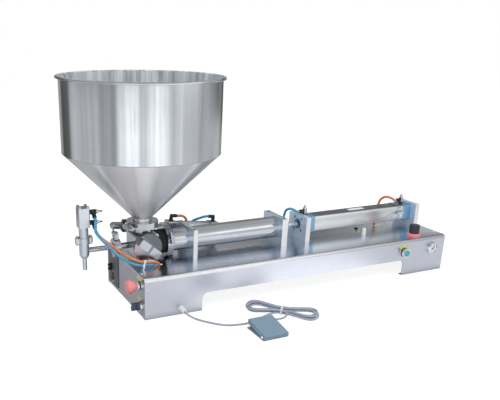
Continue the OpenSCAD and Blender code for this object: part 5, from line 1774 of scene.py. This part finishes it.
@dataclass
class PressureGauge:
    """The gauge's dial: a white face and its ticks."""

    centre: Pair = (1022.0, 80.0)
    floor: float = 3.0
    radius: float = 17.2
    sides: int = 64
    ticks: int = 25
    sweep: float = 270.0
    tick_size: Point = (0.45, 1.7, 0.12)
    tick_height: float = 0.52
    tick_inset: float = 2.4
    long_every: float = 4.0
    long_tick: float = 1.9
    wide_tick: float = 0.7

    def build(self) -> None:
        """Make the dial and its ticks."""
        x, z = self.centre
        base, edge = place(x, -self.floor, z), self.radius
        face = [(0, 0.0), (edge, 0.0), (edge, 0.35), (edge - 0.3, 0.45), (0, 0.45)]
        turned_piece("gauge_dial", face, base, FRONT, self.sides, "dial_white")
        mesh = self._tick_pattern().carry_out("gauge_ticks", bpy.data.meshes.new("dial_start"))
        upright = Matrix.Rotation(math.radians(90), 4, "X")
        mesh.transform(Matrix.Translation(base + FRONT * self.tick_height * MM) @ upright)
        piece("gauge_ticks", mesh, "dial_grey")

    def _tick_pattern(self) -> Pattern:
        """Make the tree that stands ticks round the dial, with every fourth one long.

        Returns:
            The tree.
        """
        pattern = Pattern("dial_ticks")
        sheet = pattern.sheet
        count = pattern.size("Ticks", self.ticks)
        sweep = pattern.size("Sweep", math.radians(self.sweep))
        reach = pattern.size("Reach", (self.radius - self.tick_inset) * MM)
        longer = sheet.sum("SUBTRACT", pattern.size("Long tick", self.long_tick), 1.0)
        index = sheet.node("GeometryNodeInputIndex").outputs[0]
        share = sheet.sum("DIVIDE", index, sheet.sum("SUBTRACT", count, 1.0))
        angle = sheet.sum("MULTIPLY", sheet.sum("SUBTRACT", share, 0.5), sweep)
        x, y = (sheet.sum("MULTIPLY", sheet.sum(kind, angle), reach) for kind in ("SINE", "COSINE"))
        spot = sheet.node("ShaderNodeCombineXYZ", {"X": x, "Y": y})
        points = sheet.node("GeometryNodePoints", {"Count": count, "Position": spot.outputs[0]})
        bar = sheet.node("GeometryNodeMeshCube", {"Size": [side * MM for side in self.tick_size]})
        turn = sheet.node("ShaderNodeCombineXYZ", {"Z": sheet.sum("MULTIPLY", angle, -1.0)})
        major = sheet.sum("LESS_THAN", sheet.sum("MODULO", index, self.long_every), 0.5)
        wide, tall = (sheet.sum("MULTIPLY_ADD", major, more, 1.0) for more in (self.wide_tick, longer))
        size = sheet.node("ShaderNodeCombineXYZ", {"X": wide, "Y": tall, "Z": 1.0})
        feeds = {
            "Points": points.outputs[0], "Instance": bar.outputs["Mesh"], "Rotation": turn.outputs[0],
            "Scale": size.outputs[0],
        }
        pattern.close(sheet.node("GeometryNodeInstanceOnPoints", feeds).outputs[0], "dial_grey")
        return pattern


@dataclass
class PanelScrews:
    """Cross recesses in the domed panel screws: thin dark crosses stood on the CAD heads, as painted shade
    of the recesses.
    """

    width: float = 0.9
    length: float = 3.4
    thick: float = 0.1
    sunk: float = 0.02

    def build(self) -> None:
        """Find each screw head in the CAD node and stand a dark cross on it, the painted shade of its
        recess.
        """
        inner = sum(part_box("base_cover"), Vector((0, 0, 0))) / 2
        spots: list[Vector] = []
        ways: list[Vector] = []
        for low, high in islands("panel_screws"):
            size, centre = high - low, (low + high) / 2
            axis = min(range(3), key=lambda k: size[k])
            way = Vector((0, 0, 0))
            way[axis] = 1.0 if centre[axis] > inner[axis] else -1.0
            spots.append(centre + way * (size[axis] / 2 - self.sunk * MM))
            ways.append(way)
        mesh = self._recess_pattern().carry_out("screw_recess_shade", points_mesh("screw_heads", spots, ways))
        # The dark crosses are painted shade, where the recesses lie in shadow.
        piece("screw_recess_shade", mesh, "dark_steel")

    def _recess_pattern(self) -> Pattern:
        """Make the tree that stands a cross on each head, turned along the head's way.

        Returns:
            The tree.
        """
        pattern = Pattern("cross_recess_shade")
        sheet = pattern.sheet
        long_side = pattern.size("Length", self.length * MM)
        short_side = pattern.size("Width", self.width * MM)
        both = sheet.node("GeometryNodeJoinGeometry")
        for along, across in ((long_side, short_side), (short_side, long_side)):
            size = sheet.node("ShaderNodeCombineXYZ", {"X": along, "Y": across, "Z": self.thick * MM})
            bar = sheet.node("GeometryNodeMeshCube", {"Size": size.outputs[0]})
            sheet.feed(both.inputs[0], bar.outputs["Mesh"])
        pattern.close(pattern.stand(both.outputs[0]), "dark_steel")
        return pattern


@dataclass
class ControlTrim:
    """Dark sleeves and a flange on the button collars, and the selector's pointer line."""

    estop: Pair = (20.0, 97.0)
    estop_bezel: Point = (12.5, 7.0, 11.0)
    start: Pair = (902.0, 81.0)
    start_tube: Point = (14.5, 2.6, 7.0)
    start_flange: Point = (14.5, 0.05, 2.4)
    selector: Pair = (24.0, 40.0)
    line_size: Point = (1.6, 9.0, 0.3)
    line_corner: float = 0.5
    line_sunk: float = 0.01
    play: float = 0.03
    flange_reach: float = 2.0
    rubber: float = 0.6
    sides: int = 56

    def build(self) -> None:
        """Make the sleeves, the flange and the line."""
        self._sleeve("estop_bezel_ring", self.estop_bezel, place(0, *self.estop), LEFT)
        x, z = self.start
        # A dark band round the foot of the start collar, drawn as a black sleeve.
        self._sleeve("start_sleeve", self.start_tube, place(x, 0, z), FRONT)
        radius, low, high = self.start_flange
        inner, outer = radius + self.play, radius + self.flange_reach
        bevel = [(outer, high - 0.4), (outer - 0.4, high)]
        ring = [(inner, low), (outer, low), *bevel, (inner, high), (inner, low)]
        base = place(x, 0, z)
        turned_piece("start_flange", ring, base, FRONT, self.sides, "chrome_trim")
        spot = place(0, *self.selector)
        spot.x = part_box("selector_knob")[0].x + self.line_sunk * MM
        mesh = rounded_plate("selector_line", spot, FRONT, UP, self.line_size, self.line_corner)
        piece("selector_line", mesh, "white_plastic", "selector")

    def _sleeve(self, name: str, size: Point, base: Vector, way: Vector) -> None:
        """Make one rubber sleeve over a collar.

        Args:
            name: The piece's name.
            size: The collar's radius and the sleeve's two ends, in millimetres.
            base: Where the collar leaves its panel.
            way: The collar's direction.
        """
        radius, low, high = size
        inner, outer = radius + self.play, radius + self.rubber
        profile = [
            (inner, low), (outer - 0.2, low), (outer, low + 0.3), (outer, high - 0.3), (outer - 0.2, high),
            (inner, high), (inner, low),
        ]
        turned_piece(name, profile, base, way, self.sides, "black_rubber")


@dataclass
class PedalTrim:
    """The pedal's pivot heads and the sleeve where its cord enters."""

    left_side: float = 236.0
    right_side: float = 310.0
    pivot: Pair = (-228.0, 9.0)
    cord_entry: Point = (286.0, -151.6, 5.6)
    cord_way: Point = (0.08, 1.0, -0.04)
    sides: int = 28

    def build(self) -> None:
        """Make the heads and the sleeve."""
        dome = [(0, -0.4), (4.2, -0.4), (4.2, 0.5), (3.6, 1.3), (2.2, 1.9), (0, 2.1)]
        ends = ((self.left_side, LEFT), (self.right_side, RIGHT))
        heads = (lathe("head", dome, place(x, *self.pivot), way, self.sides) for x, way in ends)
        mesh = merged_mesh("pedal_pivot_heads", heads)
        piece("pedal_pivot_heads", mesh, "chrome_trim")
        taper = [
            (2.75, 0.0), (4.6, 0.0), (4.6, 2.0), (4.0, 2.6), (4.3, 4.0), (3.7, 4.6), (4.0, 6.0), (3.4, 6.6),
            (3.3, 8.6), (2.75, 9.0), (2.75, 0.0),
        ]
        turned_piece(
            "pedal_cord_sleeve", taper, place(*self.cord_entry), Vector(self.cord_way), self.sides,
            "black_rubber",
        )


@dataclass
class DeckTrim:
    """Rubber grommets in the deck, the earth lead by the wire's gland, and the hopper's weld bead."""

    deck: float = 120.0
    holes: tuple[Pair, ...] = ((566, 214), (955, 214), (252, 268), (236, 268))
    hole_radius: float = 6.3
    hole_lip: float = 1.2
    hole_sides: int = 40
    lug: Pair = (823.0, 137.0)
    plug: Pair = (838.0, 168.0)
    lead: float = 3.0
    lead_steps: int = 8
    lead_sides: int = 14
    lug_sides: int = 32
    plug_sides: int = 36
    weld_at: Point = (55.0, 158.5, 436.0)
    weld_radius: float = 218.5
    weld_thick: float = 0.45
    weld_sides: int = 180

    def build(self) -> None:
        """Make the grommets, the earth lead and the bead."""
        spots = [place(x, y, self.deck + 0.2) for x, y in self.holes]
        size = (self.hole_radius, self.hole_lip)
        mesh = ring_mesh("hose_grommets", spots, *size, "black_rubber", self.hole_sides)
        piece("hose_grommets", mesh, "black_rubber")
        self._earth_lead()
        spots = [place(*self.weld_at)]
        size = (self.weld_radius, self.weld_thick)
        mesh = ring_mesh("hopper_weld", spots, *size, "bright_steel", self.weld_sides)
        piece("hopper_weld", mesh, "bright_steel")

    def _earth_lead(self) -> None:
        """Make the earth lead, from its lug on the deck to a rubber plug under the barrel."""
        (x, y), (px, py), deck = self.lug, self.plug, self.deck
        at_lug, at_plug = place(x, y, deck), place(px, py, deck)
        eye = [(2.6, 0.02), (5.4, 0.02), (5.4, 1.0), (2.6, 1.0), (2.6, 0.02)]
        turned_piece("earth_eye", eye, at_lug, UP, self.lug_sides, "sleeve_green")
        head = [(0, 0.05), (2.4, 0.05), (2.4, 1.0), (4.2, 1.0), (4.2, 2.2), (3.2, 3.3), (1.2, 3.8), (0, 3.8)]
        turned_piece("earth_screw", head, at_lug, UP, self.lug_sides, "chrome_trim")
        route = [
            (x + 4, y + 2.6, deck + 1.6), (x + 8, y + 8, deck + 4.6), (x + 11, y + 17, deck + 6.5),
            (px, py - 4, deck + 5.6), (px, py, deck + 0.5),
        ]
        line = placed_line(route, self.lead_steps)
        mesh = tube_mesh("earth_lead", [line], self.lead, "sleeve_green", self.lead_sides)
        piece("earth_lead", mesh, "sleeve_green")
        plug = [(0, 0.02), (6.4, 0.02), (6.4, 1.4), (5.2, 2.6), (3.4, 3.4), (0, 3.4)]
        turned_piece("earth_plug", plug, at_plug, UP, self.plug_sides, "black_rubber")


@dataclass
class CableTies:
    """The tie round the hank, and the tie round the nozzle's hoses with a hanging end and a white strap
    along the hose's top.
    """

    width: float = 2.6
    thick: float = 1.0
    above: float = 60.0
    drop: float = 9.3
    steps: int = 6

    def build(self) -> bpy.types.Object:
        """Make both ties, the hanging end and the white strap.

        Returns:
            The tie round the hank.
        """
        finish = "white_plastic"
        on_hoses = piece("hose_tie", self._band("hose_tie", True), finish)
        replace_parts(on_hoses, "cable_ties")
        hanging = [
            (29.4, 78.4, 131), (28.6, 76.2, 129), (27.2, 73.6, 125.6), (25.4, 71.4, 122.6), (24, 70, 120.9),
        ]
        # A white strap lying along the top of the orange hose.
        lying = [(30.5, 84.6, 143), (38, 84.9, 141.9), (47, 85.4, 141), (56, 86.5, 139.5), (64, 88, 137.7)]
        loose = (("tie_tail", hanging, RIGHT), ("tie_strap", lying, Vector((0.2, 1.0, 0.0))))
        for name, route, side in loose:
            mesh = strap(name, placed_line(route, self.steps), side, self.width, self.thick)
            piece(name, mesh, finish)
        return piece("hank_tie", self._band("hank_tie", False), finish)

    def _band(self, name: str, on_hoses: bool) -> bpy.types.Mesh:
        """Copy one of the two CAD ties.

        Args:
            name: The mesh's name.
            on_hoses: Whether it is the hoses' tie, which is lowered to where they hang.

        Returns:
            The mesh.
        """
        shape = cad_copy("cable_ties")
        others = [vert for vert in shape.verts if (vert.co.z > self.above * MM) != on_hoses]
        bmesh.ops.delete(shape, geom=others, context="VERTS")
        if on_hoses:
            bmesh.ops.translate(shape, verts=shape.verts, vec=(0.0, 0.0, -self.drop * MM))
        return closed_mesh(name, shape)


@dataclass
class NeedleTips:
    """The slim ends of the nozzle's two adjusting needles."""

    base: Pair = (-71.8, 158.5)
    heights: Pair = (277.0, 247.0)
    sides: int = 28

    def build(self) -> None:
        """Make an end on each needle."""
        profile = [
            (0, 0), (2.4, 0), (2.3, 3.4), (1.6, 4.2), (1.6, 5.0), (2.5, 5.7), (2.8, 6.8), (2.4, 7.9),
            (1.4, 8.5), (0, 8.7),
        ]
        for body, height in zip(("upper_needle", "lower_needle"), self.heights):
            base = place(*self.base, height)
            turned_piece(body + "_tip", profile, base, RIGHT, self.sides, "dark_steel", body)


@dataclass
class CadFinishes:
    """The finish of every CAD node: each finish's name, with the nodes that have it."""

    finishes: tuple[tuple[str, str], ...] = (
        ("cover_steel", "base_cover"),
        ("end_steel", "end_panels"),
        ("zinc_steel", "panel_screws"),
        ("dark_plate", "power_plate"),
        ("black_plastic", "side_fittings rocker_switch"),
        ("saddle_steel", "tube_saddles"),
        ("screw_steel", "socket_screws"),
        ("tube_steel", "metering_cylinder"),
        ("satin_steel", "rear_cap valve_lever actuator_bracket"),
        ("plate_steel", "front_plate rear_plate"),
        ("blue_aluminium", "air_heads"),
        ("barrel_metal", "air_barrel"),
        ("bright_steel", "valve_body valve_core actuator_rod discharge_pipe nozzle_stem pipe_clamps"),
        ("bright_steel", "hopper_wing_nut tube_wing_nut outlet_wing_nut"),
        ("faced_steel", "valve_cover"),
        ("black_rubber", "valve_seals"),
        ("bare_aluminium", "actuator_cylinder nozzle_cylinder sensor_switch air_valve_block air_piston"),
        ("fitting_plastic", "air_fittings"),
        ("nozzle_steel", "nozzle_body nozzle_bonnet"),
        ("hopper_steel", "hopper"),
        ("chrome_trim", "front_flow_knob rear_flow_knob upper_nozzle_knob lower_nozzle_knob"),
        ("chrome_trim", "button_collars gauge_case piston_rod"),
        ("white_plastic", "cable_ties cord_glands metering_piston"),
        ("red_plastic", "estop_button"),
        ("selector_blue", "selector_knob"),
        ("green_plastic", "start_button"),
        ("clear_lens", "gauge_lens"),
        ("dial_black", "gauge_needle"),
        ("ring_red", "regulator_ring"),
        ("knob_black", "regulator_knob"),
        ("pedal_paint", "pedal_base pedal_tread"),
        ("blue_hose", "blue_hoses"),
        ("orange_hose", "orange_hoses"),
        ("grey_cord", "sensor_wire pedal_cord cord_hank"),
    )

    def build(self) -> None:
        """Dress each node."""
        for finish, nodes in self.finishes:
            for node in nodes.split():
                mesh = FRAME["nodes"][node].data
                mesh.materials.clear()
                mesh.materials.append(BOOK.get(finish))
                log.info("%s keeps its CAD shape, finish %s", node, finish)


def clear_bench() -> None:
    """Take away what Blender starts with."""
    for made in list(bpy.data.objects):
        bpy.data.objects.remove(made)


def main() -> None:
    """Build the studio and every sub-assembly in order."""
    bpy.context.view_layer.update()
    PhotoCamera().build()
    Studio().build()
    PedalLead().build(CableTies().build())
    for part in (
        AirHoses, SensorLead, CadFinishes, BareLabels, PressureGauge, PanelScrews, ControlTrim, PedalTrim,
        DeckTrim, NeedleTips,
    ):
        part().build()


if __name__ == "__main__":
    logging.basicConfig(level=logging.INFO, format="%(name)s: %(message)s")
    clear_bench()
    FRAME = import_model()
    main()
